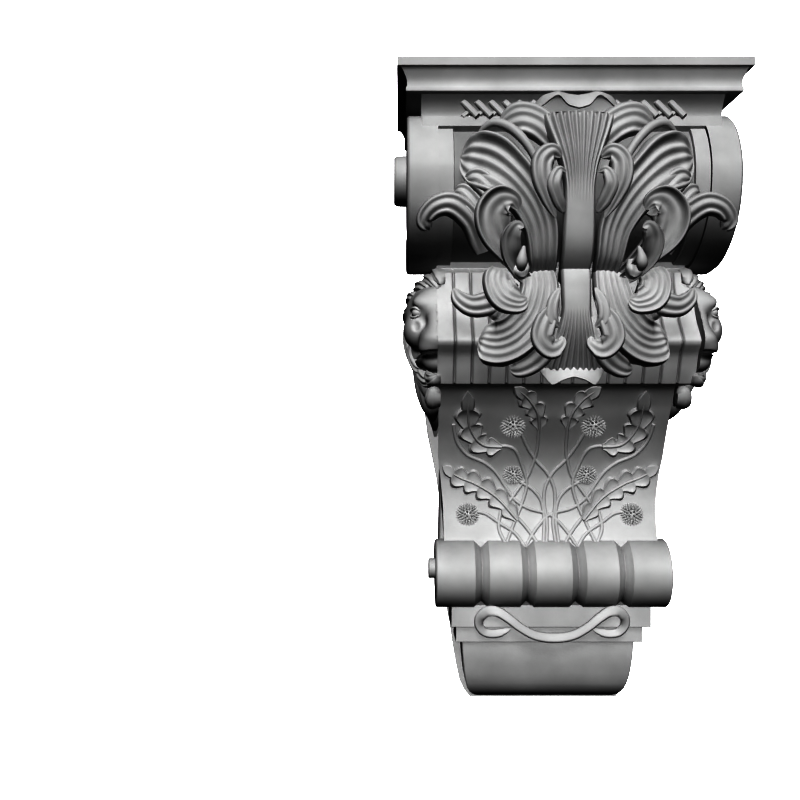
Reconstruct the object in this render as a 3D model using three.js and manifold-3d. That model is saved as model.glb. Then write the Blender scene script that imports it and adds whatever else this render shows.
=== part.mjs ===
// A carved scroll bracket (corbel): a shouldered console that hangs on a wall
// board and carries a moulded cap, with acanthus leaves, lion heads, thistles
// and laurel sprays in relief.
// Millimetres. X to the right, -Y out from the wall, Z up. Heights are counted
// from the foot, and the whole group is lowered at the end so that the origin
// is the middle of the face that lies against the wall.
import * as THREE from 'three';
import { mergeVertices } from 'three/addons/utils/BufferGeometryUtils.js';
import Module from 'manifold-3d';

const wasm = await Module();
wasm.setup();

// Driving dimensions of the whole bracket
const HEIGHT = 606;
const CROWN_HALF_WIDTH = 153;
const CROWN_DEPTH = 204;
const BOARD_THICKNESS = 11;
const WALL_POINT_HEIGHT = 303;
const JOINT_GAP = 0.3;

// Cap and frieze
const CAP_UNDERSIDE = 578;
const FASCIA_HEIGHT = 7.5;
const FRIEZE_HALF_WIDTH = 132;
const FRIEZE_FOOT = 552;

// Big roll and its volutes
const ROLL_CENTRE = { p: 128, z: 516 };
const ROLL_HALF_WIDTH = 141.5;
const SLAB_HALF_WIDTH = 130;
const ROLL_BAND_INNER = 117;
const ROLL_STEP = 103.5;
const EYE_RADIUS = 22;
const EYE_REACH = 156;
const EYE_HOLE_RADIUS = 15.5;
const EYE_HOLE_DEPTH = 12;

// Ribbed tier, panel and small roll
const TIER_HALF_WIDTH = 117;
const RIB_GROOVES = [101.2, 85.4, 69.6, 53.8];
const RIB_GROOVE_DEPTH = 3.2;
const SMALL_ROLL_CENTRE = { p: 58, z: 138.8 };
const SMALL_ROLL_RADIUS = 33.8;
const SMALL_ROLL_HALF_WIDTH = 115;
const SMALL_ROLL_GROOVES = [24.5, 70];
const SMALL_ROLL_GROOVE_DEPTH = 6.5;
const SMALL_EYE_RADIUS = 10;
const SMALL_EYE_REACH = 122;

// Foot
const UPPER_STEP = { halfWidth: 99.3, top: 108, bottom: 86, depth: 68 };
const LOWER_STEP = { halfWidth: 94, top: 88, bottom: 68, depth: 54.9 };
const SIDE_FIELD_HALF_WIDTH = 113;

const STONE = { color: 0x8f8f8f, roughness: 0.72, metalness: 0 };

const at = (x, p, z) => new THREE.Vector3(x, -p, z);
const turn = (degrees) => THREE.MathUtils.degToRad(degrees);

// Turns a closed geometry into a solid, and back
function toSolid(geometry) {
  const bare = geometry.clone();
  bare.deleteAttribute('normal');
  bare.deleteAttribute('uv');
  const merged = mergeVertices(bare, 1e-3);
  return new wasm.Manifold(new wasm.Mesh({
    numProp: 3,
    vertProperties: new Float32Array(merged.attributes.position.array),
    triVerts: new Uint32Array(merged.index.array),
  }));
}

function toGeometry(solid) {
  const mesh = solid.getMesh();
  const geometry = new THREE.BufferGeometry();
  geometry.setAttribute('position', new THREE.BufferAttribute(mesh.vertProperties, 3));
  geometry.setIndex(new THREE.BufferAttribute(mesh.triVerts, 1));
  geometry.computeVertexNormals();
  return geometry;
}

const join = (solids) => solids.reduce((whole, solid) => whole.add(solid));

// Draws short edges together where the faces round them hardly turn, so that a
// joined solid has no slivers and no more faces than its shape needs
function tidied(solid, longest, straightness) {
  const mesh = solid.getMesh();
  const points = [];
  for (let i = 0; i < mesh.vertProperties.length; i += 3) {
    points.push(new THREE.Vector3().fromArray(mesh.vertProperties, i));
  }
  const faces = [];
  const around = points.map(() => new Set());
  for (let i = 0; i < mesh.triVerts.length; i += 3) {
    const face = Array.from(mesh.triVerts.slice(i, i + 3));
    face.forEach((corner) => around[corner].add(faces.length));
    faces.push(face);
  }
  const neighbours = (v) => new Set([...around[v]].flatMap((f) => faces[f]).filter((c) => c !== v));
  const normalOf = (corners) => {
    const [a, b, c] = corners.map((corner) => points[corner]);
    return b.clone().sub(a).cross(c.clone().sub(a));
  };
  const keepsShape = (gone, kept) => [...around[gone]].every((f) => {
    if (faces[f].includes(kept)) return true;
    const before = normalOf(faces[f]);
    const after = normalOf(faces[f].map((corner) => (corner === gone ? kept : corner)));
    if (before.length() < 0.004) return after.length() > 0;
    return after.length() > 0.002 && before.normalize().dot(after.normalize()) > straightness;
  });
  const collapse = (gone, kept) => {
    const shared = [...neighbours(gone)].filter((v) => neighbours(kept).has(v));
    if (shared.length !== 2 || !keepsShape(gone, kept)) return false;
    for (const f of around[gone]) {
      if (faces[f].includes(kept)) {
        faces[f].forEach((corner) => corner !== gone && around[corner].delete(f));
        faces[f] = null;
      } else {
        faces[f] = faces[f].map((corner) => (corner === gone ? kept : corner));
        around[kept].add(f);
      }
    }
    around[gone].clear();
    return true;
  };
  for (let pass = 0; pass < 4; pass += 1) {
    const edges = [];
    faces.forEach((face) => face && face.forEach((a, i) => {
      const b = face[(i + 1) % 3];
      const length = points[a].distanceTo(points[b]);
      if (a < b && length < longest) edges.push([length, a, b]);
    }));
    edges.sort((first, second) => first[0] - second[0]);
    for (const [, a, b] of edges) {
      if (around[a].size && around[b].size && neighbours(a).has(b)) {
        collapse(a, b) || collapse(b, a);
      }
    }
  }
  const left = faces.filter(Boolean);
  const used = [...new Set(left.flat())];
  const place = new Map(used.map((v, i) => [v, i]));
  return toSolid(closedMesh(used.map((v) => points[v]), left.map((face) => face.map((v) => place.get(v)))));
}

const SLIVER_LENGTH = 0.5;
const EDGE_LENGTH = 6;
const STRAIGHTNESS = 0.965;
const CONSOLE_STRAIGHTNESS = 0.996;
const carved = (solid) => tidied(solid, EDGE_LENGTH, STRAIGHTNESS);

// The largest connected piece: slivers cut loose by a fit are dropped
function mainPiece(solid) {
  return toSolid(toGeometry(solid)).decompose().reduce((a, b) => (b.volume() > a.volume() ? b : a));
}

const mirrored = (geometry) => {
  const other = geometry.clone();
  const position = other.attributes.position;
  for (let i = 0; i < position.count; i += 1) {
    position.setX(i, -position.getX(i));
  }
  const index = other.index.array;
  for (let i = 0; i < index.length; i += 3) {
    [index[i], index[i + 1]] = [index[i + 1], index[i]];
  }
  return other;
};

// A closed skin through rings of equally many points, with flat or fanned ends
function loft(rings, flatEnds) {
  const size = rings[0].length;
  const points = rings.flat();
  const faces = [];
  for (let i = 0; i < rings.length - 1; i += 1) {
    for (let j = 0; j < size; j += 1) {
      const a = i * size + j;
      const b = i * size + ((j + 1) % size);
      faces.push([a, b, b + size], [a, b + size, a + size]);
    }
  }
  const close = (ring, first, facing) => {
    if (flatEnds) {
      const flat = ring.map((point) => new THREE.Vector2(point.y, point.z));
      for (const [a, b, c] of THREE.ShapeUtils.triangulateShape(flat, [])) {
        faces.push(facing ? [first + a, first + b, first + c] : [first + a, first + c, first + b]);
      }
      return;
    }
    const middle = points.length;
    points.push(ring.reduce((sum, point) => sum.clone().add(point)).multiplyScalar(1 / size));
    for (let j = 0; j < size; j += 1) {
      const next = (j + 1) % size;
      faces.push(facing ? [first + j, first + next, middle] : [first + next, first + j, middle]);
    }
  };
  const flat = rings[0].map((point) => new THREE.Vector2(point.y, point.z));
  const clockwise = flatEnds && THREE.ShapeUtils.area(flat) < 0;
  close(rings[0], 0, clockwise !== flatEnds ? false : flatEnds && clockwise);
  close(rings[rings.length - 1], (rings.length - 1) * size, flatEnds ? !clockwise : true);
  return closedMesh(points, faces);
}

// Builds an indexed geometry and turns it right side out
function closedMesh(points, faces) {
  const geometry = new THREE.BufferGeometry().setFromPoints(points);
  let volume = 0;
  for (const [a, b, c] of faces) {
    volume += points[a].dot(points[b].clone().cross(points[c]));
  }
  const ordered = volume < 0 ? faces.map(([a, b, c]) => [a, c, b]) : faces;
  geometry.setIndex(ordered.flat());
  return geometry;
}

// A side outline, as [projection, height] pairs, extruded across the bracket
function sidePrism(outline, left, right) {
  const shape = new THREE.Shape(outline.map(([p, z]) => new THREE.Vector2(-p, z)));
  const geometry = new THREE.ExtrudeGeometry(shape, { depth: right - left, bevelEnabled: false });
  const toSide = new THREE.Matrix4().makeBasis(
    new THREE.Vector3(0, 1, 0), new THREE.Vector3(0, 0, 1), new THREE.Vector3(1, 0, 0));
  return toSolid(geometry.applyMatrix4(toSide).translate(left, 0, 0));
}

// A symmetric front outline, as [half width, height] pairs, extruded from the wall
function frontPrism(halfOutline, near, far) {
  const right = halfOutline.map(([x, z]) => new THREE.Vector2(x, z));
  const left = halfOutline.map(([x, z]) => new THREE.Vector2(-x, z)).reverse();
  const geometry = new THREE.ExtrudeGeometry(new THREE.Shape([...right, ...left]),
    { depth: far - near, bevelEnabled: false });
  const toFront = new THREE.Matrix4().makeBasis(
    new THREE.Vector3(1, 0, 0), new THREE.Vector3(0, 0, 1), new THREE.Vector3(0, -1, 0));
  return toSolid(geometry.applyMatrix4(toFront).translate(0, -near, 0));
}

// A round bar along X, from [radius, x] pairs that start and end on the axis
function turnedBar(profile, centre, sides) {
  const geometry = new THREE.LatheGeometry(profile.map(([r, x]) => new THREE.Vector2(r, x)), sides);
  return toSolid(geometry.rotateZ(turn(-90)).translate(0, -centre.p, centre.z));
}

// A side outline run across the bracket, drawn back at some stations. Only the
// points of the front are drawn back; the rest stay where they are.
function groovedPrism(front, rest, stations) {
  const inward = front.map(([p, z], i) => {
    const [pa, za] = front[Math.max(i - 1, 0)];
    const [pb, zb] = front[Math.min(i + 1, front.length - 1)];
    const length = Math.hypot(pb - pa, zb - za);
    return [(zb - za) / length, -(pb - pa) / length];
  });
  const rings = stations.map(([x, depth]) => [
    ...front.map(([p, z], i) => at(x, p + inward[i][0] * depth, z + inward[i][1] * depth)),
    ...rest.map(([p, z]) => at(x, p, z)),
  ]);
  return toSolid(loft(rings, true));
}

const lerpTable = (table, value) => {
  const last = table.length - 1;
  if (value <= table[0][0]) return table[0][1];
  for (let i = 0; i < last; i += 1) {
    const [x0, y0] = table[i];
    const [x1, y1] = table[i + 1];
    if (value <= x1) return y0 + ((y1 - y0) * (value - x0)) / (x1 - x0);
  }
  return table[last][1];
};

const alongList = (list, t) => {
  const place = t * (list.length - 1);
  const i = Math.min(Math.floor(place), list.length - 2);
  return list[i] + (list[i + 1] - list[i]) * (place - i);
};

// One lobe of a leaf, a lock of hair or a stem: a crowned, fluted strip along a
// route of [x, height, projection] points, standing on a deeper keel.
function lobe({ route, half, crown = 0.3, flutes = 0, ridge = 1.5, keel = 10, steps = 6, facing }) {
  const curve = new THREE.CatmullRomCurve3(route.map(([x, z, p]) => at(x, p, z)), false, 'centripetal');
  const outward = facing ?? new THREE.Vector3(0, -1, 0);
  const strips = flutes > 0 ? flutes * 2 : 2;
  const rings = [];
  for (let i = 0; i <= steps; i += 1) {
    const t = i / steps;
    const middle = curve.getPoint(t);
    const along = curve.getTangent(t);
    const across = along.clone().cross(outward).normalize();
    const normal = across.clone().cross(along).normalize();
    const width = alongList(half, t);
    const ring = [];
    for (let j = 0; j <= strips; j += 1) {
      const s = (2 * j) / strips - 1;
      const flute = flutes > 0 && j % 2 === 1 ? ridge * Math.min(1, width / 8) : 0;
      const rise = crown * width * (1 - s * s) + flute;
      ring.push(middle.clone().addScaledVector(across, s * width).addScaledVector(normal, rise));
    }
    for (const s of [0.55, -0.55]) {
      const depth = keel * Math.min(1, 0.35 + width / 12);
      ring.push(middle.clone().addScaledVector(across, s * width).addScaledVector(normal, -depth));
    }
    rings.push(ring);
  }
  return loft(rings, false);
}

// A narrow pointed leaf that lies on a side face
function leaflet(p, z, length, width, angle, face) {
  const lift = 3.6;
  const sunk = 2;
  const place = (along, across, x) => at(
    x,
    p + along * Math.cos(angle) - across * Math.sin(angle),
    z + along * Math.sin(angle) + across * Math.cos(angle));
  const points = [
    place(0, 0, face), place(length, 0, face + lift * 0.3),
    place(length * 0.45, width / 2, face), place(length * 0.45, -width / 2, face),
    place(length * 0.45, 0, face + lift), place(length * 0.4, 0, face - sunk),
  ];
  return toSolid(closedMesh(points, [
    [0, 3, 4], [3, 1, 4], [1, 2, 4], [2, 0, 4], [3, 0, 5], [1, 3, 5], [2, 1, 5], [0, 2, 5],
  ]));
}

// A band of rounded reeds on a side face, between an outer and an inner edge
function reedBand({ outer, inner, reeds, face, rise, sunk }) {
  const strips = reeds * 2;
  const rings = outer.map(([po, zo], i) => {
    const [pi, zi] = inner[i];
    const width = Math.hypot(po - pi, zo - zi);
    const level = face(i / (outer.length - 1));
    const ring = [];
    for (let j = 0; j <= strips; j += 1) {
      const s = j / strips;
      const lift = j % 2 === 1 ? rise * Math.min(1, width / 12) : 0;
      ring.push(at(level + lift, po + (pi - po) * s, zo + (zi - zo) * s));
    }
    ring.push(at(level - sunk, pi + (po - pi) * 0.05, zi + (zo - zi) * 0.05));
    ring.push(at(level - sunk, po + (pi - po) * 0.05, zo + (zi - zo) * 0.05));
    return ring;
  });
  return toSolid(loft(rings, false));
}

// Back board: a flat board with a shield-shaped foot
const BOARD_OUTLINE = [
  [77, 0], [83.5, 8], [88, 18], [91, 32], [94, 49], [98, 75], [101.5, 94], [104.4, 124], [106, 156],
  [107, 196], [112, 229], [118.7, 262], [121.6, 276], [124.5, 300], [124.5, CAP_UNDERSIDE - JOINT_GAP],
];
const backBoard = frontPrism(BOARD_OUTLINE, 0, BOARD_THICKNESS);

// Cap: fascia, cove and bottom fillet on three sides, worked as stacked rings
function capSolid() {
  const profile = [
    [0, HEIGHT], [0, HEIGHT - FASCIA_HEIGHT], [4.6, 597.2], [5.4, 594.5], [6.3, 591.5], [8, 588.6],
    [8.4, 584], [7.4, 581], [7.4, CAP_UNDERSIDE],
  ];
  const rings = profile.map(([inset, z]) => {
    const side = CROWN_HALF_WIDTH - inset;
    const front = CROWN_DEPTH - inset * 0.85;
    return [at(-side, 0, z), at(-side, front, z), at(side, front, z), at(side, 0, z)];
  });
  return toSolid(loft(rings, false));
}

// Outline of the big volute and of its reeded band, by the angle turned from the front.
// The band comes down the back, runs under the roll and winds in to a point.
const BAND_OUTER = [
  [180, 112.5], [208, 103], [230, 95.8], [266, 82.3], [298, 77.8], [331, 76.3], [360, 73.5],
  [387, 68], [417, 61.3], [450, 52], [495, 50], [540, 49.5], [585, 49], [630, 48], [675, 46],
  [720, 41.5], [746, 34.8],
];
const BAND_INNER = [
  [180, 86], [208, 79], [230, 71], [266, 57], [298, 52], [331, 49], [360, 45.5], [387, 41],
  [417, 37], [450, 33.5], [495, 30], [540, 28.5], [585, 28], [630, 28], [675, 28], [720, 29.5],
  [746, 34],
];
const onRoll = (radius, degrees) => [
  ROLL_CENTRE.p + radius * Math.cos(turn(degrees)),
  ROLL_CENTRE.z + radius * Math.sin(turn(degrees)),
];
const rollArc = (from, to, steps, shrink = 0) => Array.from({ length: steps + 1 }, (_, i) => {
  const degrees = from + ((to - from) * i) / steps;
  return onRoll(lerpTable(BAND_OUTER, degrees) - shrink, degrees);
});

function bigRoll() {
  const disc = rollArc(212, 540, 22);
  const slab = [
    [BOARD_THICKNESS + JOINT_GAP, CAP_UNDERSIDE - JOINT_GAP], [BOARD_THICKNESS + JOINT_GAP, 516],
    ...rollArc(184, 420, 15), [161, 567], [178, 567], [186, CAP_UNDERSIDE - JOINT_GAP],
  ];
  const middle = groovedPrism(rollArc(440, 272, 12), [[100, 450], [100, 560]], [
    [-ROLL_BAND_INNER - 1, 3], [-ROLL_STEP - 0.5, 3], [-ROLL_STEP + 0.5, 6],
    [ROLL_STEP - 0.5, 6], [ROLL_STEP + 0.5, 3], [ROLL_BAND_INNER + 1, 3],
  ]);
  const behind = [
    [BOARD_THICKNESS + JOINT_GAP, CAP_UNDERSIDE - JOINT_GAP], [BOARD_THICKNESS + JOINT_GAP, 516],
    ...rollArc(184, 264, 9), [ROLL_CENTRE.p + 4, 450], [ROLL_CENTRE.p + 4, CAP_UNDERSIDE - JOINT_GAP],
  ];
  const slabs = sidePrism(behind, -SLAB_HALF_WIDTH, SLAB_HALF_WIDTH);
  const cheeks = [-1, 1].map((side) => sidePrism(slab,
    Math.min(side * ROLL_BAND_INNER, side * SLAB_HALF_WIDTH),
    Math.max(side * ROLL_BAND_INNER, side * SLAB_HALF_WIDTH)));
  const discs = [-1, 1].map((side) => sidePrism(disc,
    Math.min(side * ROLL_BAND_INNER, side * ROLL_HALF_WIDTH),
    Math.max(side * ROLL_BAND_INNER, side * ROLL_HALF_WIDTH)));
  return join([middle, slabs, ...cheeks, ...discs]);
}

function reededVolute() {
  const turns = 27;
  const leadIn = [[15.5, 42, CAP_UNDERSIDE - 1], [15.5, 42, 545]];
  const angles = Array.from({ length: turns + 1 }, (_, i) => 180 + (566 * i) / turns);
  const outer = [
    ...leadIn.map(([p, , z]) => [p, z]),
    ...angles.map((a) => onRoll(lerpTable(BAND_OUTER, a), a)),
  ];
  const inner = [
    ...leadIn.map(([, p, z]) => [p, z]),
    ...angles.map((a) => onRoll(lerpTable(BAND_INNER, a), a)),
  ];
  const face = (t) => Math.min(SLAB_HALF_WIDTH + 1 + t * 55, ROLL_HALF_WIDTH + 0.7);
  return reedBand({ outer, inner, reeds: 4, face, rise: 2, sunk: 9 });
}

function bigEye() {
  return turnedBar([
    [0, ROLL_HALF_WIDTH - 6], [EYE_RADIUS + 1.5, ROLL_HALF_WIDTH - 6], [EYE_RADIUS, EYE_REACH],
    [EYE_HOLE_RADIUS, EYE_REACH], [EYE_HOLE_RADIUS - 1.5, EYE_REACH - EYE_HOLE_DEPTH],
    [0, EYE_REACH - EYE_HOLE_DEPTH],
  ], ROLL_CENTRE, 20);
}

// Frieze with a cove front, a fillet under it, and a twisted cord moulding
function frieze() {
  const top = CAP_UNDERSIDE - JOINT_GAP;
  const back = BOARD_THICKNESS + JOINT_GAP;
  const cove = [[back, top], [191, top], [187.5, 574], [183.5, 569], [180.5, 563], [179, 558],
      [179, FRIEZE_FOOT], [back, FRIEZE_FOOT]];
  const fillet = [[back, 560.5], [184, 560.5], [184, FRIEZE_FOOT], [174, FRIEZE_FOOT - 8],
      [back, FRIEZE_FOOT - 8]];
  const bars = [];
  const pitch = 12.2;
  for (const i of [-8, -7, -6, -5, -4, -3, 3, 4, 5, 6, 7, 8]) {
    const bar = new THREE.BoxGeometry(4.6, 6, 19).rotateY(turn(-36)).rotateX(turn(22));
    bars.push(toSolid(bar.translate(i * pitch, -184.5, 566)));
  }
  return join([
    sidePrism(cove, -FRIEZE_HALF_WIDTH, FRIEZE_HALF_WIDTH),
    sidePrism(fillet, -FRIEZE_HALF_WIDTH + 1, FRIEZE_HALF_WIDTH - 1),
    ...bars,
  ]);
}

// Ribbed tier under the roll
const TIER_FRONT = [
  [133, 446], [139, 420], [149, 402], [152, 394], [158, 383], [170, 370], [172.6, 365.5],
  [171, 361], [161, 349], [158, 341], [151, 327],
];
function ribbedTier() {
  const grooves = RIB_GROOVES.flatMap((x) => [[x + 2.2, 0], [x, RIB_GROOVE_DEPTH], [x - 2.2, 0]]);
  const inwards = [[TIER_HALF_WIDTH, 0], ...grooves];
  const left = inwards.map(([x, depth]) => [-x, depth]);
  return groovedPrism(TIER_FRONT, [[93.4, 325.2], [93.4, 446]], [...left, ...inwards.reverse()]);
}

// Concave panel and the core behind everything, narrowed by the front outline
const PANEL_FRONT = [
  [134, 329], [120, 330], [111, 328.6], [101.6, 322], [91.7, 309], [84, 295], [75.4, 280.5],
  [67, 265], [60.5, 251], [55.5, 236], [53.9, 223], [53.9, 211], [55.5, 198], [59.3, 185], [65.4, 170],
];
const panelDepth = (z) => lerpTable([...PANEL_FRONT].reverse().slice(0, 13).map(([p, h]) => [h, p]), z);

function core() {
  const back = BOARD_THICKNESS + JOINT_GAP;
  const side = [[back, 520], [121, 520], [122, 335], ...PANEL_FRONT.slice(2), [58, 120], [back, 106]];
  const widths = [
    [102, 100], [105.5, 120], [107.3, 205], [109.5, 230], [112.4, 255],
    [SIDE_FIELD_HALF_WIDTH, 300], [SIDE_FIELD_HALF_WIDTH, 525],
  ];
  const body = sidePrism(side, -SIDE_FIELD_HALF_WIDTH, SIDE_FIELD_HALF_WIDTH);
  return body.intersect(frontPrism(widths, 0, 260));
}

function smallRoll() {
  const r = SMALL_ROLL_RADIUS;
  const groove = (x) => [[r, x - 7], [r - SMALL_ROLL_GROOVE_DEPTH, x - 0.8],
      [r - SMALL_ROLL_GROOVE_DEPTH, x + 0.8], [r, x + 7]];
  const places = [...SMALL_ROLL_GROOVES.map((x) => -x).reverse(), ...SMALL_ROLL_GROOVES];
  const end = SMALL_ROLL_HALF_WIDTH;
  const roll = turnedBar([[0, -end], [r, -end], ...places.flatMap(groove), [r, end], [0, end]],
      SMALL_ROLL_CENTRE, 20);
  const eye = turnedBar([[0, -SMALL_EYE_REACH], [SMALL_EYE_RADIUS, -SMALL_EYE_REACH],
    [SMALL_EYE_RADIUS, SMALL_EYE_REACH], [0, SMALL_EYE_REACH]], { p: 55, z: 143 }, 16);
  return join([roll, eye]);
}

// Flutes that run down the side and wind round the small roll as a scroll
const SCROLL_TURN = [
  [180, 35.5], [215, 35.5], [250, 35.5], [290, 35], [330, 33.5], [360, 33], [405, 31], [450, 30],
  [500, 28], [540, 26], [585, 24], [630, 22.5], [675, 20.5], [720, 18], [765, 15],
];
function sideScroll() {
  const centre = { p: 55, z: 142 };
  const onScroll = (radius, degrees) => [
    centre.p + radius * Math.cos(turn(degrees)), centre.z + radius * Math.sin(turn(degrees))];
  const angles = Array.from({ length: 25 }, (_, i) => 180 + (585 * i) / 24);
  const outer = [[24, 292], [21.5, 240], [19.8, 190],
      ...angles.map((a) => onScroll(lerpTable(SCROLL_TURN, a), a))];
  const inner = [[61, 288], [48, 235], [43, 190],
    ...angles.map((a) => {
      const radius = lerpTable(SCROLL_TURN, a) - 9.5 + Math.max(0, (a - 640) / 20);
      return onScroll(Math.max(radius, 11.5), a);
    })];
  inner[3] = [38, 152];
  const face = (t) => SIDE_FIELD_HALF_WIDTH - 6 + Math.min(1, t * 2.4) * 7.2;
  return reedBand({ outer, inner, reeds: 2, face, rise: 2, sunk: 10 });
}

// Stepped foot and the tongue below it
function foot() {
  const back = BOARD_THICKNESS + JOINT_GAP;
  const step = ({ halfWidth, top, bottom, depth }) => sidePrism(
    [[back, top], [depth, top], [depth, bottom], [back, bottom]], -halfWidth, halfWidth);
  const tongueSide = sidePrism([
    [back, 70], [45.5, 70], [45, 56], [42.8, 41], [39, 27], [33, 15], [27, 8], [22, 5], [back, 5],
  ], -120, 120);
  const tongueFront = frontPrism([
    [71.5, 5], [77, 8.5], [81, 16], [83.6, 25], [85.6, 38], [87, 52], [87.7, 71],
  ], 0, 200);
  return join([step(UPPER_STEP), step(LOWER_STEP), tongueSide.intersect(tongueFront)]);
}

// Thistles on the panel: each route is [x, height] and lies on the concave face
const PANEL_STEMS = [
  [[49.6, 280], [50.9, 268], [43.8, 257], [29.7, 247.5], [17.8, 233], [8.6, 221], [-2.6, 210], [-14.4, 197]],
  [[60.7, 201.5], [43.6, 198], [26, 186], [14, 172]],
];
const PANEL_LEAVES = [
  { route: [[17.8, 262], [21.5, 287], [24, 303], [31, 318]], half: [1.5, 9, 5, 10, 6, 9, 1] },
  { route: [[49, 271], [73, 276], [76.5, 298], [76.5, 318]], half: [1.5, 7, 4, 9, 5, 9, 1] },
  { route: [[33, 203], [52, 222], [76, 232], [96, 246]], half: [1.5, 9, 5, 11, 6, 10, 1] },
];
const THISTLE_HEADS = [[35, 275.5, 11], [37, 236.5, 9.4], [80, 202.5, 10.4]];

function thistles() {
  const pieces = [];
  const onPanel = (route, proud) => route.map(([x, z]) => [x, z, panelDepth(z) + proud]);
  for (const route of PANEL_STEMS) {
    pieces.push(lobe({ route: onPanel(route, 1.2), half: [1.8, 1.8], crown: 1, keel: 5, steps: 5 }));
  }
  for (const { route, half } of PANEL_LEAVES) {
    pieces.push(lobe({ route: onPanel(route, 5.4), half, crown: 0.12, keel: 9, steps: 6 }));
  }
  for (const [x, z, r] of THISTLE_HEADS) {
    const head = new THREE.SphereGeometry(r, 8, 5).translate(x, -panelDepth(z) - 2, z);
    pieces.push(mergeVertices(head.deleteAttribute('normal').deleteAttribute('uv'), 1e-4));
  }
  return join(pieces.flatMap((piece) => [toSolid(piece), toSolid(mirrored(piece))]));
}

// Laurel sprays on the sides: stems as [p, z] routes with leaf pairs along them
const SPRAYS = [
  { face: SLAB_HALF_WIDTH, stem: [[84, 484], [70, 512], [60, 546], [56, 562]], pairs: 4, length: 22 },
  { face: SLAB_HALF_WIDTH, stem: [[66, 540], [84, 556], [102, 569]], pairs: 1, length: 19 },
  { face: SIDE_FIELD_HALF_WIDTH, stem: [[66, 442], [50, 450], [34, 472], [24, 494]], pairs: 4, length: 21 },
  { face: SIDE_FIELD_HALF_WIDTH, stem: [[50, 434], [36, 422], [27, 398], [24, 372]], pairs: 3, length: 20 },
];
function sprays() {
  const leaves = [];
  for (const { face, stem, pairs, length } of SPRAYS) {
    const curve = new THREE.CatmullRomCurve3(stem.map(([p, z]) => at(face, p, z)));
    for (let i = 0; i <= pairs; i += 1) {
      const t = i / (pairs + 0.4);
      const base = curve.getPoint(t);
      const ahead = curve.getTangent(t);
      const heading = Math.atan2(ahead.z, -ahead.y);
      for (const side of i === pairs ? [0.1] : [-0.55, 0.55]) {
        leaves.push(leaflet(-base.y, base.z, length, 8.5, heading + side, face));
      }
    }
  }
  return join(leaves);
}

// Upper acanthus leaf: a fan with a curled lip on a smooth midrib, and lobes on each side
const UPPER_LOBES = [
  { route: [[11.9, 529, 196], [20.8, 537.6, 208], [32.2, 545.9, 213], [45.8, 551.7, 213], [61.6, 549, 205]],
    half: [7, 11, 13, 13, 6], flutes: 2, keel: 26, crown: 0.2, steps: 5 },
  { route: [[25.3, 434.5, 206], [32.8, 459.8, 217], [45.3, 481.5, 224], [62.6, 500.4, 225],
      [81.3, 515, 220], [99, 524, 206]],
    half: [13, 15, 16, 20, 25, 14], flutes: 3, keel: 34, crown: 0.22, steps: 7 },
  { route: [[18.2, 470.4, 222], [29, 487.9, 230], [34.9, 505.9, 234], [29.4, 520.3, 233],
      [17.6, 522, 229], [14, 515, 224]],
    half: [4, 7, 8.5, 8.5, 6, 3], flutes: 1, keel: 20, crown: 0.35, steps: 6 },
  { route: [[16.6, 472, 224], [23.1, 481.9, 231], [24.5, 492.4, 235], [17.9, 502.6, 232]],
    half: [3, 5, 5, 3], keel: 12, crown: 0.4, steps: 4 },
  { route: [[48.1, 423.5, 200], [67.4, 433, 216], [80.2, 449.9, 229], [80, 469.2, 236],
      [69.9, 481, 237], [56.3, 479, 232], [51.5, 469, 224]],
    half: [9, 13, 15, 15, 13, 9, 4], flutes: 2, keel: 36, crown: 0.4, steps: 7 },
  { route: [[46.1, 422.5, 208], [57.8, 435.3, 224], [57.6, 451.4, 230], [50.4, 459.6, 232]],
    half: [6, 8, 8, 5], keel: 20, crown: 0.3, steps: 4 },
  { route: [[65.3, 475.9, 206], [75.3, 490.5, 215], [86.7, 498.7, 214], [95, 497, 207]],
    half: [8, 9, 8, 3], flutes: 1, keel: 24, crown: 0.3, steps: 4 },
  { route: [[80.1, 465.7, 200], [90.3, 480.2, 209], [101, 491.5, 203]], half: [8, 9, 4], keel: 22,
      crown: 0.3, steps: 3 },
  { route: [[80, 452, 196], [94.1, 471.8, 208], [109.8, 478.8, 213], [123.4, 473.9, 211],
      [128.6, 464.4, 205], [125, 458.6, 200]],
    half: [8, 10, 9, 8, 6, 3], flutes: 1, keel: 16, crown: 0.35, steps: 6 },
];
const UPPER_MIDRIB = [
  [425, 206, 11.4], [446.5, 217, 10.5], [466.8, 222, 9.6], [487.3, 224, 9], [502, 224, 10.6],
  [520.9, 223, 14.6],
  [538.1, 220, 21], [549.9, 216, 27],
];
const UPPER_LIP = [[549, 204], [560, 199], [570, 199], [575, 203], [573.5, 211], [567, 217], [560.5, 220]];

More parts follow.
